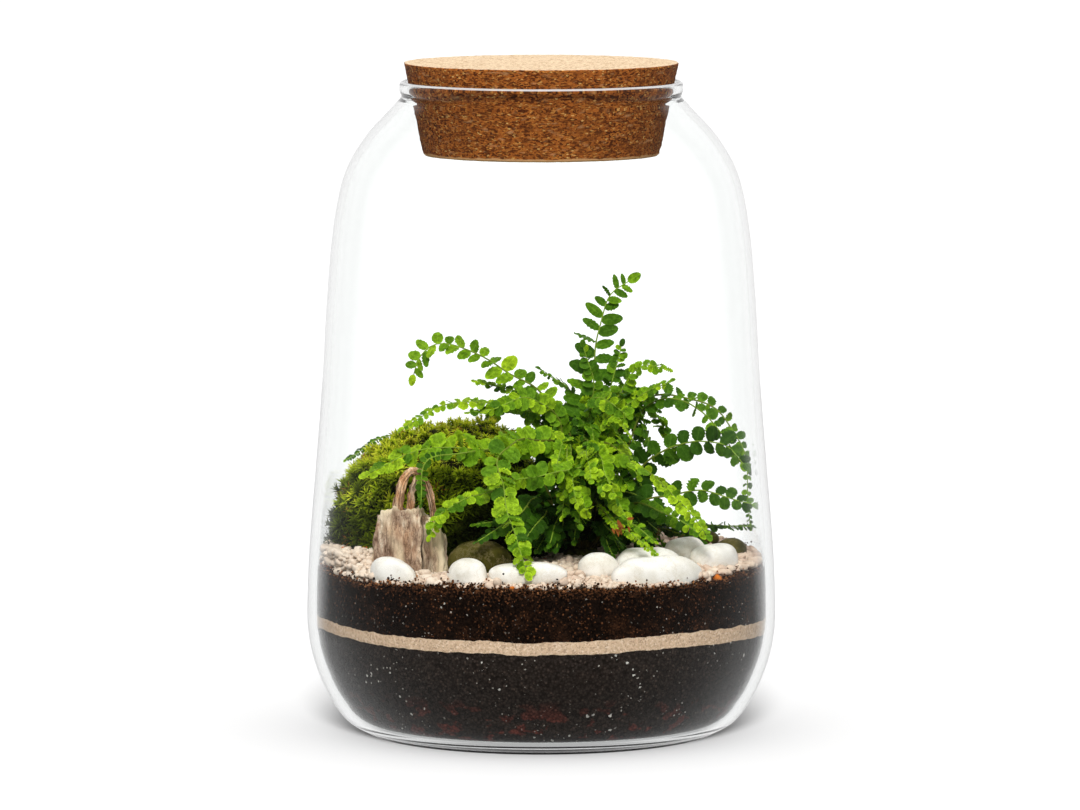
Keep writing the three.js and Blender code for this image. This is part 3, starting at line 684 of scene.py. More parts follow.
def make_jar():
    """One turned wall: up the outside, over a rounded lip, and down the inside to a flat floor."""
    bead = (LIP_OUTER - LIP_INNER) / 2
    middle = (LIP_OUTER + LIP_INNER) / 2
    lip = [
        (middle + bead * math.cos(a), LIP_TOP - bead + bead * math.sin(a))
        for a in np.linspace(0, math.pi, 13)
    ]
    outer = [tuple(p) for p in JAR_OUT if p[1] < LIP_LOW - 2.2][2:]
    neck = [(LIP_OUTER - 0.9, LIP_LOW - 0.9), (LIP_OUTER - 0.5, LIP_LOW + 0.1), (LIP_OUTER, LIP_LOW + 1.4)]
    inner_neck = [(LIP_INNER, LIP_LOW + 1), (LIP_INNER + 0.3, LIP_LOW - 1.5)]
    inner = [tuple(p) for p in JAR_IN[::-1] if FLOOR + 1.2 < p[1] < LIP_LOW - 4]
    edge = inner[-1][0]
    floor = [(edge - 1.2, FLOOR + 0.5), (edge - 3, FLOOR + 0.1), (edge - 8, FLOOR), (40, FLOOR), (0, FLOOR)]
    foot = [(0, 0.6), (60, 0.6), (70, 0.35), (73, 0), (75.5, 0.15)]
    sides = 160
    points, faces = turned([*foot, *outer, *neck, *lip, *inner_neck, *inner, *floor], sides)
    jar = piece("glass_jar", points, faces, GLASS, ["jar"])
    # The top of the lip gets a second material, a painted highlight.
    jar.data.materials.append(LIP_HIGHLIGHT)
    first = len(foot) + len(outer) + len(neck)
    for face in jar.data.polygons:
        if first + 1 <= face.index // sides < first + 4:  # the bands on the outer half of the lip's top, which carry the painted highlight
            face.material_index = 1


def make_cork():
    """A tapered stopper with worn edges and a surface of pressed grains."""
    def grains(x, y, r, z):
        pits = 0.14 * rough(x, y, z, 2.2) + 0.12 * rough(x, y, z, 0.9)
        on_face = r < CORK_BOTTOM_RADIUS - 2
        return (0, pits * 0.5) if on_face else (pits - 0.15, pits * 0.3)

    slope = (CORK_TOP_RADIUS - CORK_BOTTOM_RADIUS) / (CORK_TOP - CORK_BOTTOM)
    side = [
        (CORK_BOTTOM_RADIUS + slope * (z - CORK_BOTTOM), z)
        for z in np.linspace(CORK_BOTTOM + 0.6, CORK_TOP - 0.35, 44)
    ]
    low = [(r, CORK_BOTTOM) for r in (0, 16, 30, 42, CORK_BOTTOM_RADIUS - 1.2, CORK_BOTTOM_RADIUS - 0.6)]
    rings = [CORK_TOP_RADIUS - 0.4, *np.linspace(CORK_TOP_RADIUS - 1.4, 1.2, 40), 0]
    high = [(r, CORK_TOP - 0.1) for r in rings]
    points, faces = turned([*low, *side, *high], sides=300, bumps=grains)
    piece("cork", points, faces, CORK, ["cork_stopper"])


# ---------------------------------------------------------------- layers

FILL_RADIUS = 94  # where a layer's edge is worked out, just inside the glass
LAYER_SIDES = 640
LAYER_CLEAR = 0.35  # a layer's distance from the glass
TOP_RING = 0.95  # where the ragged edge of a layer's top has died out, as a share of its radius
DRAINAGE_EDGE, SAND_LOW_EDGE = (3, 1.0), (5, 0.45)  # (seed, how far the edge strays)
SAND_TOP_EDGE, SOIL_EDGE = (7, 0.55), (9, 1.6)
SOIL_RISE = [
    (-94, 3.0), (-88, 2.2), (-80, 1.0), (-72, -0.8), (-64, 0.2), (-54, 1.6), (-36, 1.6), (-22, 0.8),
    (-5, 0.0), (20, -0.6), (45, -1.9), (66, -2.0), (82, -0.8), (94, -1.8),
]  # (x, how much the top edge of the soil climbs at the glass)


def ragged(x, y, seed, size):
    """How far a layer's edge strays, in millimetres."""
    return size * (0.6 * rough(x, y, seed, 9) + 0.3 * rough(x, y, seed, 3.2) + 0.25 * rough(x, y, seed, 1.3))


def in_front(y):
    """1 in front of the jar's middle, 0 behind it."""
    return clamp((20 - y) / 30)


def no_rise(x, y):
    return 0


def sand_rise(x, y):
    """How much the sand climbs at its two ends."""
    return in_front(y) * (2.7 * clamp((-x - 55) / 38) ** 1.5 + 1.5 * clamp((x - 20) / 18))


def soil_rise(x, y):
    across, up = zip(*SOIL_RISE)
    return in_front(y) * float(np.interp(x, across, up))


def layer(name, material, node_name, low, high, stray_low, stray_high, rise_low, rise_high, rows=6):
    """A column of filling whose lower and upper edges stray with the grains that make them, and rise by a
    function of the place."""
    sides = LAYER_SIDES
    points, faces = [(0, 0, level(low, 0, 0))], []
    for row in range(rows + 1):
        for i in range(sides):
            c, s = polar(1, i / sides * TURN)
            x, y = FILL_RADIUS * c, FILL_RADIUS * s
            z0 = level(low, x, y) + (ragged(x, y, *stray_low) if stray_low else 0.1) + rise_low(x, y)
            z1 = level(high, x, y) + ragged(x, y, *stray_high) + rise_high(x, y)
            z = mix(z0, z1, row / rows)
            r = inner_radius(z) - LAYER_CLEAR + 0.12 * rough(x, y, z, 1.5)
            points.append((r * c, r * s, z))
    for row in range(rows):
        faces += band(1 + row * sides, 1 + (row + 1) * sides, sides)
    foot, top, inner = [len(points) + k * sides for k in range(3)]
    points.extend(points[1 : 1 + sides])
    points.extend(points[1 + rows * sides : 1 + (rows + 1) * sides])
    for x, y, _ in points[top : top + sides]:
        points.append((TOP_RING * x, TOP_RING * y, level(high, TOP_RING * x, TOP_RING * y)))
    points.append((0, 0, level(high, 0, 0)))
    faces += band(top, inner, sides)
    for i in range(sides):
        j = (i + 1) % sides
        faces.append((0, foot + j, foot + i))
        faces.append((len(points) - 1, inner + i, inner + j))
    piece(name, points, faces, material, [node_name])


def make_layers():
    layer("drainage", DRAINAGE, "drainage_layer", FLOOR_PLANE, DRAINAGE_TOP,
          None, DRAINAGE_EDGE, no_rise, no_rise)
    layer("soil_below", LOWER_SOIL, "lower_soil", DRAINAGE_TOP, SAND_LOW,
          DRAINAGE_EDGE, SAND_LOW_EDGE, no_rise, sand_rise, 10)
    layer("sand", SAND, "sand_band", SAND_LOW, SAND_TOP,
          SAND_LOW_EDGE, SAND_TOP_EDGE, sand_rise, sand_rise, 4)
    layer("soil_above", UPPER_SOIL, "upper_soil", SAND_TOP, SOIL_TOP,
          SAND_TOP_EDGE, SOIL_EDGE, sand_rise, soil_rise, 10)


def make_crumbs():
    """Loose crumbs of soil along the top edge of the soil, on the grains and between the stones. The first
    ones, by_glass of them, lie at the glass, and a few of those stray further."""
    crumbs, by_glass, strays = 13000, 11400, 0.03
    draw = np.random.default_rng(41)
    ball, faces = icosphere(1)
    heap = Heap()
    for i in range(crumbs):
        angle = draw.random() * TURN
        r = draw.uniform(91.5, 94.5) if i < by_glass else 92 * math.sqrt(draw.random())
        x, y = polar(r, angle)
        size = draw.uniform(0.22, 0.6)
        up = draw.normal(0.3, 1.1) if draw.random() < 1 - strays else abs(draw.normal(0, 2.8))
        z = level(SOIL_TOP, x, y) + (up + soil_rise(x, y) + 0.9 * rough(x, y, 4, 7) if i < by_glass else 0.8)
        shape = ball * size * draw.uniform(0.7, 1.3, 3) + draw.normal(0, 0.12 * size, ball.shape)
        heap.add(shape + into_glass(np.array([x, y, z]), size + 0.15), faces, draw.random())
    heap.piece("soil_crumbs", CRUMB, "dark_soil", smooth=False)


# ---------------------------------------------------------------- stones

class Stone:
    """An oval stone: the x and y of its middle, its half sizes, how far it is turned, and its middle's z."""

    def __init__(self, at, half, degrees, z):
        self.at, self.half, self.z = at, half, z
        self.turn = math.radians(degrees)

    def holds(self, x, y, spare):
        """True if a point lies within the outline, with some room to spare."""
        c, s = polar(1, self.turn)
        dx, dy = x - self.at[0], y - self.at[1]
        u, v = dx * c + dy * s, -dx * s + dy * c
        return (u / (self.half[0] + spare)) ** 2 + (v / (self.half[1] + spare)) ** 2 < 1

    def surface(self, seed, ball, fullness, unevenness):
        """The solids' swellings, then dents. fullness: a power under 1 that squares the ball."""
        draw = random_stream(seed)
        swell = [draw() * 6 for _ in range(3)]
        bulge = 1
        for axis, (height, pace) in enumerate(((0.07, 2.1), (0.07, 2.4), (0.05, 2.8))):
            bulge = bulge + height * np.sin(pace * ball[:, axis] + swell[axis])
        points = np.sign(ball) * np.abs(ball) ** fullness * bulge[:, None] * np.array(self.half) * 1.01
        dents = np.array([rough(*p, 5.5) * 0.16 + rough(*p, 11) * unevenness for p in points + 7 * seed])
        x, y, z = (points + ball * dents[:, None]).T
        c, s = polar(1, self.turn)
        return np.stack([c * x - s * y + self.at[0], s * x + c * y + self.at[1], z + self.z], axis=1)


WHITE_PEBBLES = [
    Stone((-60, -62.8), (11.5, 5.6, 5.4), -42, 75.2),
    Stone((-30.5, -78.5), (8.4, 6.2, 6), -18, 75.8),
    Stone((-4.5, -81), (14.5, 6.2, 5.4), -2, 76),
    Stone((24, -58), (8, 6, 5.2), 5, 77.2),
    Stone((47, -69.5), (19, 7.6, 6.2), 24, 75.8),
    Stone((73, -39), (12, 8, 6.4), 50, 77.4),
    Stone((45, -46), (13, 7, 5.8), 10, 77.4),
    Stone((62, -19), (9.5, 7, 6), -12, 78),
]
FRONT_PEBBLES = WHITE_PEBBLES[:5]
RIVER_STONES = [
    Stone((-25, -56), (13, 9, 9), -8, 78.4),
    Stone((81, -3), (8, 6.5, 4.8), 84, 76.6),
    Stone((68, 32), (10, 7, 5), -35, 77),
    Stone((42, 66), (13, 8, 6), -20, 77),
]


def make_stones():
    ball, faces = icosphere(5)
    for stones, stem, seed, material, slot, fullness, unevenness in (
        (WHITE_PEBBLES, "white_pebble", 11, WHITE_STONE, "white_stone", 0.82, 0.7),
        (RIVER_STONES, "river_stone", 71, RIVER_STONE, "river_stone", 1, 0.3),
    ):
        for i, stone in enumerate(stones):
            points = stone.surface(seed + i, ball, fullness, unevenness)
            piece(f"{stem}_smooth_{i + 1}", points, faces, material, [f"{stem}_{i + 1}"])


def on_stone(x, y, spare):
    return any(stone.holds(x, y, spare) for stone in WHITE_PEBBLES + RIVER_STONES)


def before_stone(x, y):
    """True if a point lies between the glass and a stone that shows through it, where few grains lie."""
    for stone in FRONT_PEBBLES:
        wide = 0.9 * math.hypot(stone.half[0] * math.cos(stone.turn), stone.half[1] * 0.5)
        if abs(x - stone.at[0]) < wide and y < stone.at[1]:
            return True
    return False


def on_other(x, y, spare):
    """True if a point lies under the moss, the wood or the fern's stock."""
    side = MOSS_RIGHT if x > MOSS_CENTRE[0] else MOSS_LEFT
    moss = ((x - MOSS_CENTRE[0]) / side) ** 2 + ((y - MOSS_CENTRE[1]) / MOSS_DEEP) ** 2 < 0.93
    wood = ((x - WOOD_AT[0]) / (16.5 + spare)) ** 4 + ((y - WOOD_AT[1]) / (8.5 + spare)) ** 4 < 1
    return moss or wood or math.hypot(x - CROWN[0], y - CROWN[1]) < CROWN_RADIUS + spare


GRAIN_FOOT = 0.9  # the least height of a grain's middle over the soil
BARE_TOP = 1.3  # how high and how large grains are where they would hide a stone


def gravel_height(x, y):
    """How high the grains are heaped over the soil: most at the left, against the moss."""
    return 3.2 + 7 * clamp((-x - 46) / 22) * clamp((y + 62) / 24) + 0.8 * rough(x, y, 2, 16)


def chipped_stones(draw, detail, count=24):
    """A stock of angular stones about one unit in half size, and their faces."""
    ball, faces = icosphere(detail)
    shapes = []
    for k in range(count):
        shape = ball * draw.uniform(0.85, 1.3, 3)
        for _ in range(9):
            way = unit(draw.normal(0, 1, 3))
            over = np.maximum(0, shape @ way - draw.uniform(0.6, 0.92))
            shape = shape - over[:, None] * way
        lumps = np.array([rough(*(p + 9 * k), 0.8) for p in shape])
        shapes.append(shape * (1 + 0.08 * lumps)[:, None])
    return shapes, faces


def random_turn(draw):
    """A rotation matrix, any way round as likely as any other."""
    return np.array(Quaternion(unit(draw.normal(0, 1, 4))).to_matrix())


def gravel_bed():
    """Points and faces of the low lumpy bed that closes the gaps under the grains."""
    sides, rings, edge = 160, 56, 91.0
    points = [(0, 0, level(SOIL_TOP, 0, 0))]
    for ring in range(rings + 1):
        r = edge * (1 - ring / rings) + 0.4
        for i in range(sides):
            x, y = polar(r, i / sides * TURN)
            up = GRAIN_FOOT + 0.5 * gravel_height(x, y) + 0.5 * rough(x, y, 3, 2.5)
            if ring == 0 or on_other(x, y, 0.5) or on_stone(x, y, 0.3) or before_stone(x, y):
                up = 0.3
            points.append((x, y, level(SOIL_TOP, x, y) + up))
    points.append((0, 0, level(SOIL_TOP, 0, 0) + 1))
    return points, closed_skin(rings + 1, sides)


def make_gravel():
    """Grains strewn in decks over the soil, clear of everything that stands on it."""
    draw = np.random.default_rng(8)
    large, small = chipped_stones(draw, 2), chipped_stones(draw, 1)
    heap = Heap()
    heap.add(*gravel_bed(), 0.5)
    tries, orange = 90000, 0.012  # how often a spot is tried, and the share of orange grains
    cell, apart = 5.0, 0.72  # the search grid, and the least distance of two grains to their sizes' sum
    near = {}
    for attempt in range(tries):
        angle = draw.random() * TURN
        r = draw.uniform(85, 93) if draw.random() < 0.35 else 93 * math.sqrt(draw.random())
        x, y = polar(r, angle)
        size = mix(2.5, 0.8, (attempt / tries) ** 0.45) * draw.uniform(0.8, 1.1)
        top = gravel_height(x, y)
        if before_stone(x, y):
            top, size = BARE_TOP, min(size, BARE_TOP)
        up = top * draw.random() ** 0.4
        if on_other(x, y, size * 0.4) or on_stone(x, y, size * 0.7 - 0.35 * up):
            continue
        sunk = min(0, soil_rise(x, y)) * clamp((r - 82) / 8)
        z = level(SOIL_TOP, x, y) + GRAIN_FOOT + up + sunk
        middle = into_glass(np.array([x, y, z]), size + 0.2)
        key = tuple(int(c // cell) for c in middle)
        around = [
            p for i in (-1, 0, 1) for j in (-1, 0, 1) for k in (-1, 0, 1)
            for p in near.get((key[0] + i, key[1] + j, key[2] + k), ())
        ]
        if any(np.linalg.norm(p[:3] - middle) < apart * (p[3] + size) for p in around):
            continue
        near.setdefault(key, []).append(np.array([*middle, size]))
        wide, least = (0.5, 0.06) if x > 40 and y > -12 else (0.6, 0.3)  # browner at the back on the right
        tint = draw.beta(2, 2) * wide + least
        # Painted light: grains of the heap at the left, in the moss's shade, are made paler.
        if x < -46 and y > -62:
            tint = mix(tint, 0.92, 0.5)
        if draw.random() < orange:
            tint = 1.0
        stock, faces = large if size > 1.4 else small
        shape = stock[draw.integers(len(stock))] @ random_turn(draw).T * size
        heap.add(all_into_glass(shape * (1.1, 1.1, 0.9) + middle, 0.25), faces, tint)
    heap.piece("gravel_grains", PALE_GRAVEL, "gravel", ["gravel"])


# ---------------------------------------------------------------- driftwood

WOOD_OUTLINE = [
    (-16, 4, 26), (-15.5, -4, 28), (-9, -8, 31), (-2, -7.2, 30), (4, -8, 31), (6.2, -3.5, 24),
    (8.4, -7.6, 28), (13, -5.5, 22), (15.5, 1, 17), (12.5, 7, 20), (5, 9, 29), (-6, 8.5, 30),
]  # (x, y, how high the stump is there)
WOOD_LOOP = [
    (-5.8, -1, 24), (-5.4, -1, 34), (-3.3, -1, 42), (0.8, 0, 45.6), (5, 1, 42.6), (7.8, 2, 34), (9.5, 3, 22),
]
WOOD_PRONG = [(0.2, 1, 25), (-0.6, 0.5, 33), (0.6, 0.5, 39), (2.4, 1, 43)]
WOOD_FLARE = 1.06
WOOD_TOP_SCALE = 0.88
WOOD_SPLIT = 4.75 / 12  # where round its outline the stump is split, at its top
WOOD_SPLIT_LEAN = 0.03  # how much further round it is at its foot
WOOD_SPLIT_DEEP = 3.6


def outline_at(share):
    """A point on the stump's outline, rounded a little between its corners."""
    count = len(WOOD_OUTLINE)
    at = (share % 1) * count
    k = int(at)
    a, b = np.array(WOOD_OUTLINE[k % count], float), np.array(WOOD_OUTLINE[(k + 1) % count], float)
    t = at - k
    return mix(a, b, t * t * (3 - 2 * t) * 0.5 + t * 0.5)


def stump():
    """Points, faces, shades and marks of a split stump with the grain standing out of it. A mark is how much
    darker a point is and how much paler. It is darker deep in the split, as painted shade, and a little over
    the top. It is paler at the top rim, and on the block beside the split, partly by its own colour and
    partly as painted light."""
    sides, rows = 300, 70
    points, tints, marks = [(0, 0, 0)], [0.0], [(0, 0)]
    for row in range(rows + 1):
        up = row / rows
        scale = np.interp(up, [0, 0.4, 0.75, 1], [WOOD_FLARE, 1, 0.95, WOOD_TOP_SCALE])
        for i in range(sides):
            share = i / sides
            x, y, top = outline_at(share)
            out = unit(np.array([x, y]))
            z = (top + 0.9 * rough(x, y, 3, 2.2) * up) * up
            past_split = share - (WOOD_SPLIT - WOOD_SPLIT_LEAN * (1 - up) + 0.012 * rough(z, 1, 1, 9))
            split = math.exp(-((past_split / 0.013) ** 2))
            ridge = (
                0.4 * rough(x * 1.4, y * 1.4, z / 5, 1.8) + 0.25 * rough(x, y, z / 3, 0.9)
                + 0.5 * rough(x, y, z, 7) - WOOD_SPLIT_DEEP * split
            )
            points.append((x * scale + out[0] * ridge, y * scale + out[1] * ridge, z))
            tints.append(clamp(0.3 * rough(x, y, z, 9) + 0.02))
            # Paler towards the top rim, and on the block beside the split where it lies in shade: partly its
            # own colour, partly painted light.
            paler_share = clamp((up - 0.93) * 12) * 0.8 + (0.8 if 0 < past_split < 0.25 else 0)
            paler_share = clamp(paler_share + 0.5 * rough(x, y, z / 4, 5) - 0.1)
            # Painted shade deep in the split.
            marks.append((clamp(2.6 * split - 0.2), paler_share))
    inner = [0.8, 0.45, 0.12]
    for share in inner:
        for i in range(sides):
            x, y, top = outline_at(i / sides)
            jag = 1.6 * rough(x * share, y * share, 5, 3.2)
            reach = WOOD_TOP_SCALE * share
            points.append((x * reach, y * reach, mix(26, top, share) - 1.6 + jag))
    points.append((0, 0, 25))
    on_top = len(points) - len(tints)
    tints += [0.4] * on_top
    marks += [(0.35, 0)] * on_top
    return np.array(points), closed_skin(rows + 1 + len(inner), sides), tints, marks


def root_bar(path, thick, thin, steps=60, sides=28):
    """Points, faces, shades and marks of a grooved root along a path."""
    line = spline(path, steps)
    radii = [mix(thick, thin, k / steps) * (1 + 0.14 * rough(k / 6, 2, thick, 1)) for k in range(steps + 1)]
    bar, faces = tube(line, radii, sides)
    marks = []
    for k, p in enumerate(bar):
        along = min(steps, max(0, (k - 1) // sides))
        out = unit(p - line[along])
        groove = rough(*(out * 2.4), 1)
        bar[k] = p + out * (0.4 * groove + 0.3 * rough(p[0] * 2, p[1] * 2, p[2] / 3, 1.2))
        # Painted shade in the root's grooves; darker towards its end.
        marks.append((clamp(-0.9 * groove - 0.35 + 1.1 * (along / steps) ** 3, 0, 0.85), 0))
    return bar, faces, [clamp(0.85 + 0.3 * rough(*p, 5)) for p in bar], marks


def make_driftwood():
    """The stump, and the root that loops over its top."""
    shift = np.array([*WOOD_AT, level(SOIL_TOP, *WOOD_AT) + 2 * GAP])
    heap = Heap()
    for points, *rest in (stump(), root_bar(WOOD_LOOP, 2.0, 1.0), root_bar(WOOD_PRONG, 1.6, 1.1)):
        heap.add(points + shift, *rest)
    heap.piece("driftwood_stump", WOOD, "driftwood", ["driftwood"])


# ---------------------------------------------------------------- moss

MOSS_PILE = 5  # how deep the shoots stand
MOSS_SIDES, MOSS_RINGS = 120, 34
MOSS_SHOOTS = 1900


def moss_point(angle, share):
    """The hummock's surface, as the solids have it."""
    reach = MOSS_RIGHT if math.cos(angle) > 0 else MOSS_LEFT
    lumps = 1 + 0.03 * math.sin(5 * angle + 1) + 0.03 * math.sin(9 * angle + 3 * share)
    out_x = reach * share * lumps * math.cos(angle)
    x = MOSS_CENTRE[0] + out_x
    y = MOSS_CENTRE[1] + MOSS_DEEP * share * lumps * math.sin(angle)
    rise = math.sqrt(max(0, 1 - share**2.7))
    bumps = 1 + 0.03 * math.sin(x / 6 + 2) * math.cos(y / 7)
    height = (MOSS_HEIGHT + MOSS_LEAN * out_x) * rise * bumps
    return into_glass(np.array([x, y, level(SOIL_TOP, x, y) + GAP + height]), 1.2)


def make_moss():
    """A dark heart, painted as the shade under the shoots, and star-shaped shoots all over it."""
    shares = [math.sin((MOSS_RINGS - ring) / MOSS_RINGS * math.pi / 2) for ring in range(MOSS_RINGS)]
    angles = [i / MOSS_SIDES * TURN for i in range(MOSS_SIDES)]
    grid = np.array([[moss_point(angle, share) for angle in angles] for share in shares])
    heart = np.array([*MOSS_CENTRE, 80.0])
    points = [np.array([*MOSS_CENTRE, level(SOIL_TOP, *MOSS_CENTRE) + GAP])]
    for p in grid.reshape(-1, 3):
        lump = 1.6 * rough(*p, 9) + 0.8 * rough(*p, 3)
        points.append(p + unit(heart - p) * (MOSS_PILE + lump) * clamp((p[2] - 70) / 6, 0.2))
    points.append(moss_point(0, 0) - MOSS_PILE * UP)
    tints = [clamp(0.5 + 0.5 * rough(*p, 4)) for p in points]
    piece("moss_heart", points, closed_skin(MOSS_RINGS, MOSS_SIDES), MOSS_HEART, ["moss"], tint=tints)
    make_moss_shoots(grid)


def make_moss_shoots(grid):
    draw = np.random.default_rng(17)
    corners = []
    for low, high in zip(grid, grid[1:]):
        for i in range(MOSS_SIDES):
            j = (i + 1) % MOSS_SIDES
            corners.append((low[i], low[j], high[j]))
            corners.append((low[i], high[j], high[i]))
    corners = np.array(corners)
    crosses = np.cross(corners[:, 1] - corners[:, 0], corners[:, 2] - corners[:, 0])
    areas = np.linalg.norm(crosses, axis=1)
    heap = Heap()
    for index in draw.choice(len(corners), size=MOSS_SHOOTS, p=areas / areas.sum()):
        a, b = draw.random(2)
        if a + b > 1:
            a, b = 1 - a, 1 - b
        p0, p1, p2 = corners[index]
        foot = p0 + a * (p1 - p0) + b * (p2 - p0)
        normal = unit(crosses[index])
        away = unit(normal * 0.9 + 0.45 * UP + draw.normal(0, 0.25, 3))
        foot = foot - normal * (MOSS_PILE - 1.5 * rough(*foot, 9)) * clamp((foot[2] - 68) / 8, 0.3)
        moss_shoot(heap, foot, away, draw)
    heap.piece("moss_shoots", MOSS, "moss")


def moss_shade(x, y, z, fine, shaded, draw):
    """How light a shoot is, as painted light and shade: paler where it is fine, towards the top, lighter on
    the mounds and darker between them, and darker low down, under the fern and behind the wood.
    """
    under_fern = clamp((x + 44) / 14) * clamp((107 - z) / 6)
    shade = clamp(draw.normal(0.52, 0.19) + 0.6 * fine + 0.24 * rough(x, y, z, 9), 0.08, 0.9)
    return shade * (1 - 0.15 * shaded) * (1 - 0.8 * under_fern) * clamp((z - 86) / 12, 0.35)


def moss_shoot(heap, foot, away, draw):
    """One shoot: a short stem with whorls of narrow leaves that arch out into a star."""
    x, y, z = foot
    fine = clamp((z - 104) / 14) * clamp((x + 78) / 25)
    stem = draw.uniform(1.0, 6.0) * mix(1, 0.75, fine)
    leaf = draw.uniform(5.0, 8.0) * mix(1, 0.55, fine)
    side = unit(np.cross(away, draw.normal(0, 1, 3)))
    other = np.cross(away, side)
    shaded = clamp((x + 60) / 18) * clamp((124 - z) / 12)
    shade = moss_shade(x, y, z, fine, shaded, draw)
    # Painted shade at the foot of each shoot, deep among the others; the tips are palest.
    tints = [shade * 0.2, shade * 0.2, shade * 0.95, shade * 0.95, min(0.85, shade * 1.5)]
    if draw.random() < 0.05 * (1 - shaded):
        tints = [0.1, 0.1, 0.93, 0.93, 1.0]
    count = int(draw.integers(13, 19))
    for k in range(count):
        level_up = k / count
        spin = k * GOLDEN_ANGLE + draw.normal(0, 0.2)
        spread = mix(1.35, 0.35, level_up**1.5) + draw.normal(0, 0.1)
        out = math.cos(spin) * side + math.sin(spin) * other
        root = foot + away * stem * (0.45 + 0.55 * level_up)
        way, tip_way = [
            unit(away * math.cos(spread * bend) + out * math.sin(spread * bend)) for bend in (0.75, 1.25)
        ]
        wide = unit(np.cross(way, away) + 1e-6) * mix(0.40, 0.30, fine)
        length = leaf * mix(1.0, 0.6, level_up)
        mid = root + way * length * 0.5
        points = [root - wide * 0.7, root + wide * 0.7, mid + wide, mid - wide, mid + tip_way * length * 0.5]
        heap.add(all_into_glass(points, 0.35), [(0, 1, 2, 3), (3, 2, 4)], tints)


# ---------------------------------------------------------------- fern

STALK = 0.2  # the share of a frond that is bare at its foot
KEEL = 0.12  # how far a frond's two sides hang down
RIB_SWAY = 0.7


class Frond:
    """A frond that springs from the crown and passes through the points of by. Its upper side looks towards
    face, and leaf is the length of its longest leaflets. shade runs from deep green to lime and holds painted
    light: fronds in the plant's shade get low shades. lift is how far the leaflets turn up towards the light.
    pitch: from one leaflet to the next on a side, to a leaflet's length. breadth: a leaflet's breadth to its
    length. taper: how much shorter the last leaflets are. twist: how far the frond rolls. slant: turns the
    leaflets of one side forward and the others back. tilt: how unevenly the leaflets lie. deep: the share of
    its shade that the frond has at its start, a painted shade near the crown. start: the share of its rib
    before the first leaflets. form: one of LEAFLETS."""

    def __init__(self, by, face, leaf, shade, lift, pitch=0.62, breadth=0.86, taper=0.55, twist=0.1, slant=0,
                 tilt=0.48, deep=1, start=STALK, form="round"):
        self.face, self.leaf, self.shade, self.lift = np.array(face, float), leaf, shade, lift
        self.pitch, self.breadth, self.taper, self.twist = 0.3 + pitch * leaf, breadth, taper, twist
        self.slant, self.tilt, self.deep, self.start, self.form = slant, tilt, deep, start, form
        out = np.array([by[0][0] - CROWN[0], by[0][1] - CROWN[1]])
        steep = (by[0][2] - CROWN_TOP) / np.linalg.norm(out)
        ring = clamp(9.5 - 0.9 * steep, 2.5, 9)
        foot = np.array([*(np.array(CROWN) + unit(out) * ring), CROWN_TOP - 0.5])
        self.line = spline([foot, *by], 400)
        steps = np.linalg.norm(np.diff(self.line, axis=0), axis=1)
        self.lengths = np.concatenate([[0], np.cumsum(steps)])
        self.total = self.lengths[-1]

    def on_line(self, distance):
        return np.array([np.interp(distance, self.lengths, self.line[:, k]) for k in range(3)])

    def at(self, distance, phase):
        """A point on the rib, and the directions along it, to its side and out of its upper face."""
        ahead = self.on_line(min(distance + 1, self.total))
        behind = self.on_line(max(distance - 1, 0))
        along = unit(ahead - behind)
        side = unit(np.cross(self.face, along))
        up = np.cross(along, side)
        roll = self.twist * math.sin(3 * distance / self.total * math.pi + phase)
        side, up = side * math.cos(roll) + up * math.sin(roll), up * math.cos(roll) - side * math.sin(roll)
        sway = RIB_SWAY * math.sin(distance / self.total * math.pi)
        off = side * math.sin(distance / 4.1 + phase) + up * math.sin(distance / 5.3 + phase)
        return into_glass(self.on_line(distance) + off * sway, 1.4), along, side, up

    def size_at(self, t):
        """A leaflet's length to that of the longest, at a share of the way along the leaflets."""
        return 1 - 0.3 * (1 - t) ** 3 - self.taper * t**2.5

    def grow(self, leaves, stems, draw):
        """The leaflets and the rib."""
        grid = LEAFLETS[self.form]
        phase = draw.uniform(0, TURN)
        shares = np.linspace(0, 1, 120)
        crowding = np.cumsum(1 / self.size_at(shares))
        count = max(3, round(self.total * (1 - self.start) / self.pitch * crowding[-1] / len(shares)))
        for hand in (1, -1):
            for k in range(count):
                turn = (k + (0.4 if hand > 0 else 0.15) + draw.normal(0, 0.05)) / count
                t = float(np.interp(turn * crowding[-1], crowding, shares))
                point, along, side, normal = self.at(self.total * mix(self.start, 1, t), phase)
                length = self.leaf * self.size_at(t) * draw.uniform(0.76, 1.16)
                forward = draw.normal(0.2, 0.1) + 0.5 * t**4 + self.slant * hand
                hang = draw.normal(0.25 * self.lift - KEEL, 0.1)
                way = unit(side * hand + along * forward + normal * hang)
                up = unit(normal + (0.8 * UP + along * 0.7) * self.lift + draw.normal(0, self.tilt, 3))
                width = length * self.breadth * draw.uniform(0.88, 1.14)
                # Painted light and shade: leaflets are lighter towards the tip, darker deep in the plant and
                # near the crown.
                shade = (self.shade + 0.12 * t + 0.05 * draw.normal()) * depth_shade(point)
                shade *= mix(self.deep, 1, clamp(t / 0.6))
                add_leaflet(leaves, grid, point - way * 0.1, way, up, length, width, shade, draw)
        point, along, _, normal = self.at(self.total, phase)
        tip = self.leaf * 0.55
        # The tip leaflet is painted lighter.
        add_leaflet(leaves, grid, point, along, normal, tip, tip * 0.7, self.shade + 0.2, draw)
        steps, sides = 40, 7
        path = [self.at(self.total * k / steps, phase)[0] for k in range(steps + 1)]
        rib, rib_faces = tube(path, [mix(0.62, 0.22, k / steps) for k in range(steps + 1)], sides)
        shades = [clamp(((k - 1) / sides) / steps * 0.9 + 0.15) for k in range(len(rib))]
        stems.add(rib, rib_faces, shades)


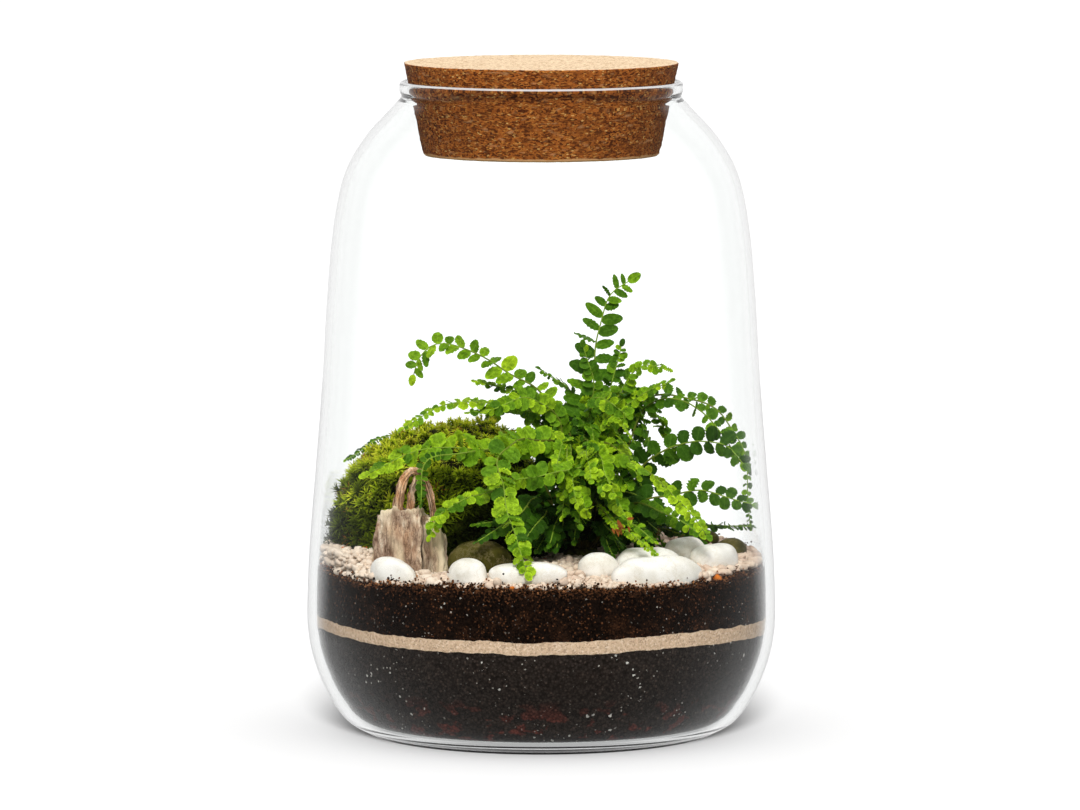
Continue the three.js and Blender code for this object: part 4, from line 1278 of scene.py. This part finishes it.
def leaflet_grid(lobes, pointed):
    """A leaflet on its own square: rows of (share of its length, share of its half width). lobes: how deep
    its edge is scalloped. pointed: how much it narrows to its tip."""
    rows = []
    for s in (0.0, 0.04, 0.1, 0.2, 0.3, 0.4, 0.5, 0.6, 0.7, 0.8, 0.9, 0.96, 1.0):
        half = math.sqrt(max(0, 1 - (2 * s - 1) ** 2)) ** 0.85
        half *= 0.9 + 0.3 * s - 0.2 * s * s + lobes * math.cos(s * TURN * 5) - pointed * s * s
        rows.append([(s, half * w) for w in (-1, -0.55, 0, 0.55, 1)])
    return rows


LEAFLETS = {"round": leaflet_grid(0.06, 0), "long": leaflet_grid(0.01, 0.35)}

# Leaflets deep in the plant get little light, and are darker.
HEART = np.array([16, 2, 104])
HEART_REACH = np.array([42, 40, 33])


def depth_shade(point):
    out = np.linalg.norm((point - HEART) / HEART_REACH)
    return mix(0.3, 1, clamp((out - 0.5) / 0.5))


def add_leaflet(heap, grid, root, way, normal, length, width, shade, draw):
    """A cupped leaflet that starts at root and runs along way."""
    across = unit(np.cross(normal, way))
    normal = unit(np.cross(way, across))
    cup = draw.uniform(-0.12, 0.2)
    bend = draw.uniform(0.0, 0.28)
    skew = draw.normal(0, 0.05)
    points, uv = [], []
    for row in grid:
        for s, w in row:
            ripple = 0.11 * math.sin(s * 31 + w * 5 + skew * 60)
            height = -bend * s * s * length + cup * abs(w) ** 1.7 * width + ripple * abs(w) * width
            side = w * width * 0.5 + skew * s * length
            points.append(root + way * s * length + across * side + normal * height)
            uv.append((s, w))
    starts = [r * 5 + c for r in range(len(grid) - 1) for c in range(4)]
    faces = [(a, a + 1, a + 6, a + 5) for a in starts]
    heap.add(all_into_glass(points, 0.6), faces, clamp(shade * (1 + draw.normal(0, 0.25))), uv)


# Each frond's shade holds painted light: fronds that arch out to the front are light, those behind and deep
# in the plant dark.
FRONDS = [
    Frond([(17, 4, 125), (22.4, 4, 156), (26, 5, 177), (30, 5, 186), (37, 6, 191)], (0.1, -1, 0.25),
          12, 0.36, 0.35, 0.6, 0.56, tilt=0.3, form="long"),
    Frond([(12, 2, 124), (-2, -2, 145), (-29, -7, 162), (-43.6, -10, 166), (-51.5, -11, 160.5),
           (-54, -11, 153)], (0, -0.75, 0.75),
          9.4, 0.66, 0.2, 0.6, 0.62, taper=0.3, slant=0.4, tilt=0.3, form="long"),
    Frond([(24, 3, 120), (35, 1, 146), (43, -3, 156), (52, -6, 155)], (0, -0.6, 1),
          7.5, 0.66, 0.3, 0.6, 0.76),
    Frond([(36, 8, 132), (62, 13, 141), (86, 14, 122), (90, 6, 87)], (0.3, -0.8, 0.6),
          6, 0.38, 0.2, 0.9, 0.8, taper=0.65),
    Frond([(44, -2, 137), (68, -13, 137), (84, -18, 116)], (0, -0.7, 0.7),
          7.2, 0.44, 0.2, 0.98, 0.8, taper=0.65),
    Frond([(46, -10, 116), (62, -18, 124), (76, -25, 125), (84, -30, 117)], (0, -1, 0.1),
          8.6, 0.16, 0.0, 0.82, 0.88, taper=0.4, tilt=0.3),
    Frond([(40, -14, 97), (66, -20, 104), (88, -24, 99)], (0, -1, 0.3), 7.8, 0.24, 0.0, 0.92, 0.86, tilt=0.3),
    Frond([(42, 2, 92), (64, 2, 87), (90, 4, 86)], (0, -0.3, 1), 5.5, 0.2, 0.2),
    Frond([(8, -14, 122), (-16, -48, 125), (-15, -70, 107), (-6, -89, 79)], (0, -1, 0.5),
          8.2, 0.72, 0.15, 0.58, taper=0.5),
    Frond([(-2, -22, 110), (-23, -46, 107), (-41, -60, 100), (-46, -64, 91)], (-0.2, -0.6, 0.7),
          5.6, 0.80, 0.3, 0.7, taper=0.4),
    Frond([(0, -4, 121), (-23, -36, 124), (-50, -40, 124), (-71, -44, 115)], (0, -0.6, 0.8),
          9.4, 0.74, 0.3, 0.6, 0.95, taper=0.45),
    Frond([(4, 34, 118), (-34, 62, 119), (-66, 48, 120), (-85, 27, 112)], (0, -0.5, 1),
          4, 0.2, 0.3, 0.7, 0.6),
    Frond([(15, 7, 122), (13, 11, 142), (0, 6, 153)], (0, -0.5, 1), 5.5, 0.3, 0.3, breadth=0.7),
    Frond([(4, 2, 126), (-18, -8, 140), (-40, -12, 140), (-58, -18, 131)], (0, -0.5, 1),
          6.5, 0.7, 0.3, 0.65, 0.7),
    Frond([(25, -18, 122), (37, -38, 119), (55, -56, 107), (68, -62, 91)], (0.2, -0.5, 0.8),
          6.8, 0.9, 0.3, twist=0.5, tilt=0.6),
    Frond([(12, -20, 124), (14, -46, 113), (19, -60, 100)], (0, -0.7, 0.8),
          6.2, 0.68, 0.3, taper=0.35, twist=1.2, tilt=0.8, deep=0.05),
    Frond([(20, -22, 112), (29, -44, 107), (36, -56, 96)], (0, -0.7, 0.8),
          6.2, 0.66, 0.3, taper=0.35, twist=1.2, tilt=0.8, deep=0.05),
    Frond([(20, -5, 132), (24, -20, 144), (36, -34, 138)], (0, -0.7, 0.8),
          6.6, 0.62, 0.3, taper=0.4, twist=0.9, tilt=0.7),
    Frond([(36, -20, 98), (54, -30, 95), (66, -36, 88)], (0, -0.7, 0.8), 6.5, 0.42, 0.3, tilt=0.6),
    Frond([(30, -20, 92), (38, -42, 93), (47, -54, 87)], (0, -0.4, 1), 4.5, 0.5, 0.3),
    Frond([(-2, -14, 97), (-14, -38, 95), (-27, -44, 93)], (0, -0.4, 1), 6, 0.3, 0.3),
    Frond([(8, -2, 128), (-4, -14, 143), (-22, -26, 139)], (0, -0.7, 0.8),
          7, 0.72, 0.3, taper=0.4, twist=0.5),
    Frond([(30, 20, 122), (46, 40, 133), (60, 62, 112)], (0.4, 0.4, 1), 7, 0.4, 0.3),
    Frond([(16, 22, 124), (14, 50, 134), (10, 76, 110)], (0, 0.6, 1), 7, 0.45, 0.3),
    Frond([(6, 22, 128), (-12, 46, 135), (-30, 70, 118)], (-0.3, 0.5, 1), 7, 0.5, 0.3),
    Frond([(36, 16, 100), (50, 34, 100), (62, 56, 88)], (0.4, 0.4, 1), 6.5, 0.35, 0.3),
    Frond([(26, 10, 128), (34, 24, 141), (44, 38, 142)], (0.4, 0.4, 1), 6.5, 0.4, 0.3),
]

# Small fronds that show in front of the wood, over the moss and over the stones.
EXTRA_FRONDS = [
    Frond([(0, -4, 121), (-24, -38, 123), (-47, -52, 121), (-50, -57, 103)], (0, -1, 0.3),
          3.2, 0.30, 0.1, 0.7, start=0.8),
    Frond([(8, 0, 124), (-8, -6, 138), (-30, -14, 137)], (0, -0.5, 1), 5.5, 0.5, 0.3, start=0.3),
    Frond([(10, 4, 126), (-4, 2, 142), (-27, -2, 149)], (0, -0.5, 1), 5.5, 0.62, 0.3, start=0.3),
    Frond([(19, 2, 124), (22, -2, 148), (18, -6, 164)], (0, -1, 0.5), 6.5, 0.42, 0.5, start=0.3),
    Frond([(20, 2, 124), (30, 0, 148), (34, -2, 164)], (0, -1, 0.5), 6.5, 0.38, 0.5, start=0.3),
    Frond([(22, 0, 120), (40, -6, 142), (54, -14, 150)], (0, -0.7, 0.8), 6, 0.62, 0.3, start=0.3),
    Frond([(18, -24, 124), (24, -46, 122), (27, -58, 115), (31, -61, 106)], (0, -1, 0.3),
          6.2, 0.82, 0.1, taper=0.3, twist=0.9, tilt=0.8, start=0.65),
    Frond([(10, -26, 122), (12, -48, 118), (13, -58, 112), (14.5, -61, 104)], (0, -1, 0.3),
          4.8, 0.88, 0.1, taper=0.3, twist=0.9, tilt=0.8, start=0.72),
    Frond([(18, -22, 122), (18, -46, 119), (10, -55, 117), (0, -56, 115), (-12, -54, 113)], (0, -1, 0.5),
          6.8, 0.64, 0.1, taper=0.3, twist=0.9, tilt=0.7, start=0.6),
    # Painted shade: these two low fronds over the river stone are near black.
    Frond([(2, -24, 102), (-8, -48, 99), (-17, -62, 94), (-26, -68, 89)], (0, -0.8, 0.6),
          5.2, 0.13, 0.1, taper=0.4, twist=0.8, tilt=0.7, start=0.4),
    Frond([(4, -22, 96), (-2, -46, 93), (-8, -58, 87)], (0, -0.8, 0.6),
          5.2, 0.10, 0.1, taper=0.4, twist=0.8, tilt=0.7, start=0.4),
    Frond([(22, -22, 100), (28, -48, 96), (38, -58, 90), (48, -62, 82)], (0, -0.6, 0.8),
          2.6, 0.9, 0.1, taper=0.2, start=0.5),
]
SKIRT_FRONDS = 54  # dark ones low down, painted as the shade under the plant
BRIGHT_FRONDS = 90  # ones that are tried higher up, towards the front, painted lighter the more they face it
WITHERED_LEAFLETS = 12
WITHERED_AT = (33, -60, 94.5)


def make_fern():
    """Every frond of the solids as a piece of its own, then the rest of the plant."""
    for i, frond in enumerate(FRONDS):
        name = f"{i + 1:02d}"
        leaves, stems = Heap(), Heap()
        frond.grow(leaves, stems, np.random.default_rng(100 + i))
        leaves.piece(f"leaflets_{name}", LEAF, "fern", [f"frond_{name}"])
        stems.piece(f"rib_{name}", STEM, "fern")
    make_inner_fronds()
    make_withered()
    make_crown()


def inner_frond(heading, length, rise, droop, leaf, shade, start):
    """A short frond that leaves the crown by a heading, climbs at an angle and droops again, and its tip."""
    out = np.array([*polar(1, heading), 0])
    reach, high = polar(length, rise)
    by = [
        np.array([*CROWN, CROWN_TOP]) + out * way + high * climb * UP
        for way, climb in ((reach * 0.4 + 5, 0.8), (reach * 0.85 + 7, 1), (reach * 1.35 + 7, 1 - droop))
    ]
    return Frond(by, out * 0.6 + np.array([0, -0.35, 1]), leaf, shade, 0.3, twist=0.9, start=start), by[-1]


def make_inner_fronds():
    """Short fronds that fill the plant's middle: a dark skirt low down, painted as the shade under the plant,
    and bright ones towards the front, painted lighter the more they face it.
    """
    draw = np.random.default_rng(77)
    leaves, stems = Heap(), Heap()
    for k in range(SKIRT_FRONDS):
        heading = k * GOLDEN_ANGLE + draw.normal(0, 0.2)
        # Painted shade: the skirt fronds are near black.
        skirt, _ = inner_frond(heading, draw.uniform(18, 38), draw.uniform(0.15, 0.9), draw.uniform(0.2, 0.9),
                               draw.uniform(5, 6.5), draw.uniform(0.0, 0.16), 0.15)
        skirt.grow(leaves, stems, draw)
    for k in range(BRIGHT_FRONDS):
        heading = math.radians(draw.uniform(215, 385)) if k % 3 else draw.random() * TURN
        front = clamp(0.5 - 0.5 * math.sin(heading))
        rise = draw.uniform(0.45, 1.3)
        # Painted light: the lighter the more the frond faces the front.
        bright, (x, y, z) = inner_frond(
            heading, draw.uniform(34, 70), rise, draw.uniform(0.1, 0.5), draw.uniform(5.2, 7.0),
            mix(0.14, 0.66, front) * draw.uniform(0.5, 1.5), 0.35,
        )
        over_moss = x < 4 and y > -40 and z < 126
        in_shade = x < 0 and z < 118
        if not (over_moss or in_shade or x > 50 or math.hypot(x, y) > 76):
            bright.grow(leaves, stems, draw)
    for frond in EXTRA_FRONDS:
        frond.grow(leaves, stems, draw)
    leaves.piece("leaflets_inner", LEAF, "fern")
    stems.piece("ribs_inner", STEM, "fern")


def make_withered():
    """A few dry leaflets that hang over the stones, low on the right."""
    draw = np.random.default_rng(5)
    heap = Heap()
    for _ in range(WITHERED_LEAFLETS):
        root = WITHERED_AT + draw.normal(0, (1.8, 1, 1.1))
        way = unit(draw.normal((0.6, 0, -0.5), 0.7))
        length = draw.uniform(2.5, 4.5)
        add_leaflet(heap, LEAFLETS["long"], root, way, draw.normal(0, 1, 3), length, length * 0.5, 0.5, draw)
    heap.piece("withered_leaflets", DRY_LEAF, "fern")


def make_crown():
    """The scaly stock that the fronds stand in."""
    ball, faces = icosphere(4)
    foot = level(SOIL_TOP, *CROWN) + GAP
    radius, height = 10.4, 7.6
    points = []
    for p in ball:
        lump = 1 + 0.12 * rough(*(p * 6), 2.2) + 0.05 * rough(*(p * 10), 1)
        x, y = CROWN[0] + p[0] * radius * lump, CROWN[1] + p[1] * radius * lump
        points.append((x, y, max(foot, foot + p[2] * height * lump)))
    tints = [clamp(0.25 + 0.3 * rough(*(p * 10), 1.5)) for p in ball]
    piece("fern_stock", points, faces, STEM, ["fern_crown"], tint=tints)


# ---------------------------------------------------------------- floor, light, camera

WHITE_ROOM = 1.3  # how bright the surroundings look


def make_floor():
    """A pale floor. It lights nothing from below, so the planting keeps its depth. Through the glass it glows
    as bright as the room, with a greenish painted light near the jar's foot, where the floor lies in shade."""
    far = 60
    mesh = bpy.data.meshes.new("floor")
    mesh.from_pydata([(-far, -far, 0), (far, -far, 0), (far, far, 0), (-far, far, 0)], [], [(0, 1, 2, 3)])
    material, tree = new_material("pale_floor")
    plain = skin_of(tree, (0.80, 0.80, 0.80, 1), 0.9, 0.0)
    away = node(tree, "ShaderNodeVectorMath", {0: place(tree)}, operation="LENGTH").outputs["Value"]
    # Painted light: seen through the glass, the floor glows greenish near the jar's foot.
    pale = blend(tree, grey(tree, away, 0.10, 0.13), (0.56, 0.65, 0.60), (1, 1, 1))
    bright = node(tree, "ShaderNodeEmission", {"Color": pale, "Strength": WHITE_ROOM}).outputs[0]
    ray = node(tree, "ShaderNodeLightPath").outputs
    seen = either(tree, calc(tree, "GREATER_THAN", ray["Transmission Depth"], 0.5), plain, bright)
    gap = node(tree, "ShaderNodeBsdfTransparent").outputs[0]
    mirrored = calc(tree, "GREATER_THAN", ray["Glossy Depth"], 0.5)
    mesh.materials.append(finished(material, either(tree, mirrored, seen, gap)))
    floor = bpy.data.objects.new("floor", mesh)
    floor.visible_glossy = False
    floor.visible_diffuse = False
    bpy.context.scene.collection.objects.link(floor)


def add_sun(name, energy, angle, way):
    """A lamp with parallel light along way. The glass doesn't mirror it."""
    lamp = bpy.data.lights.new(name, "SUN")
    lamp.energy = energy
    lamp.angle = math.radians(angle)
    holder = bpy.data.objects.new(name, lamp)
    holder.rotation_euler = Vector(way).to_track_quat("-Z", "Y").to_euler()
    holder.visible_glossy = False
    holder.visible_transmission = False
    bpy.context.scene.collection.objects.link(holder)


def make_light():
    """A white room. Surfaces are lit mostly from above. The glass mirrors a dark front and a pale back."""
    world = bpy.data.worlds.new("studio")
    world.use_nodes = True
    tree = world.node_tree
    tree.nodes.clear()
    way = parts_of(tree, node(tree, "ShaderNodeTexCoord").outputs["Generated"])
    ray = node(tree, "ShaderNodeLightPath").outputs
    lit = grey(tree, way["Z"], -0.25, 0.3, 0.14, 0.66)
    beside = grey(tree, way["Y"], -0.8, 0.45, 0.0, 0.46)
    beside = calc(tree, "MULTIPLY_ADD", grey(tree, way["Z"], 0.02, -0.24), beside, 0.02)
    round_about = calc(tree, "MAXIMUM", beside, grey(tree, way["Y"], 0.56, 0.85, 0.0, 0.97))
    bounced = calc(tree, "GREATER_THAN", ray["Glossy Depth"], 0.5)
    seen = node(tree, "ShaderNodeMix", {0: ray["Is Diffuse Ray"], 2: WHITE_ROOM, 3: lit}).outputs[0]
    seen = node(tree, "ShaderNodeMix", {0: bounced, 2: seen, 3: round_about}).outputs[0]
    background = node(tree, "ShaderNodeBackground", {"Color": (1, 1, 1, 1), "Strength": seen})
    node(tree, "ShaderNodeOutputWorld", {"Surface": background.outputs[0]})
    bpy.context.scene.world = world
    add_sun("overhead", energy=0.7, angle=90, way=(0.0, 0.05, -1))
    add_sun("front", energy=2.6, angle=14, way=(0.0, 0.9, -0.72))


def make_camera():
    """A long lens nearly three metres off, a little above the stopper, looking slightly down."""
    lens = bpy.data.cameras.new("camera")
    lens.lens = 224.19
    lens.sensor_width = 36
    lens.clip_end = 200
    camera = bpy.data.objects.new("camera", lens)
    camera.location = (-0.00055, -2.85, 0.4456)
    down = 6.145
    camera.rotation_euler = (math.radians(90 - down), 0, 0)
    bpy.context.scene.collection.objects.link(camera)
    bpy.context.scene.camera = camera


make_camera()
make_jar()
make_cork()
make_layers()
make_crumbs()
make_stones()
make_gravel()
make_driftwood()
make_moss()
make_fern()
make_floor()
make_light()
bpy.context.scene.view_settings.view_transform = "Standard"
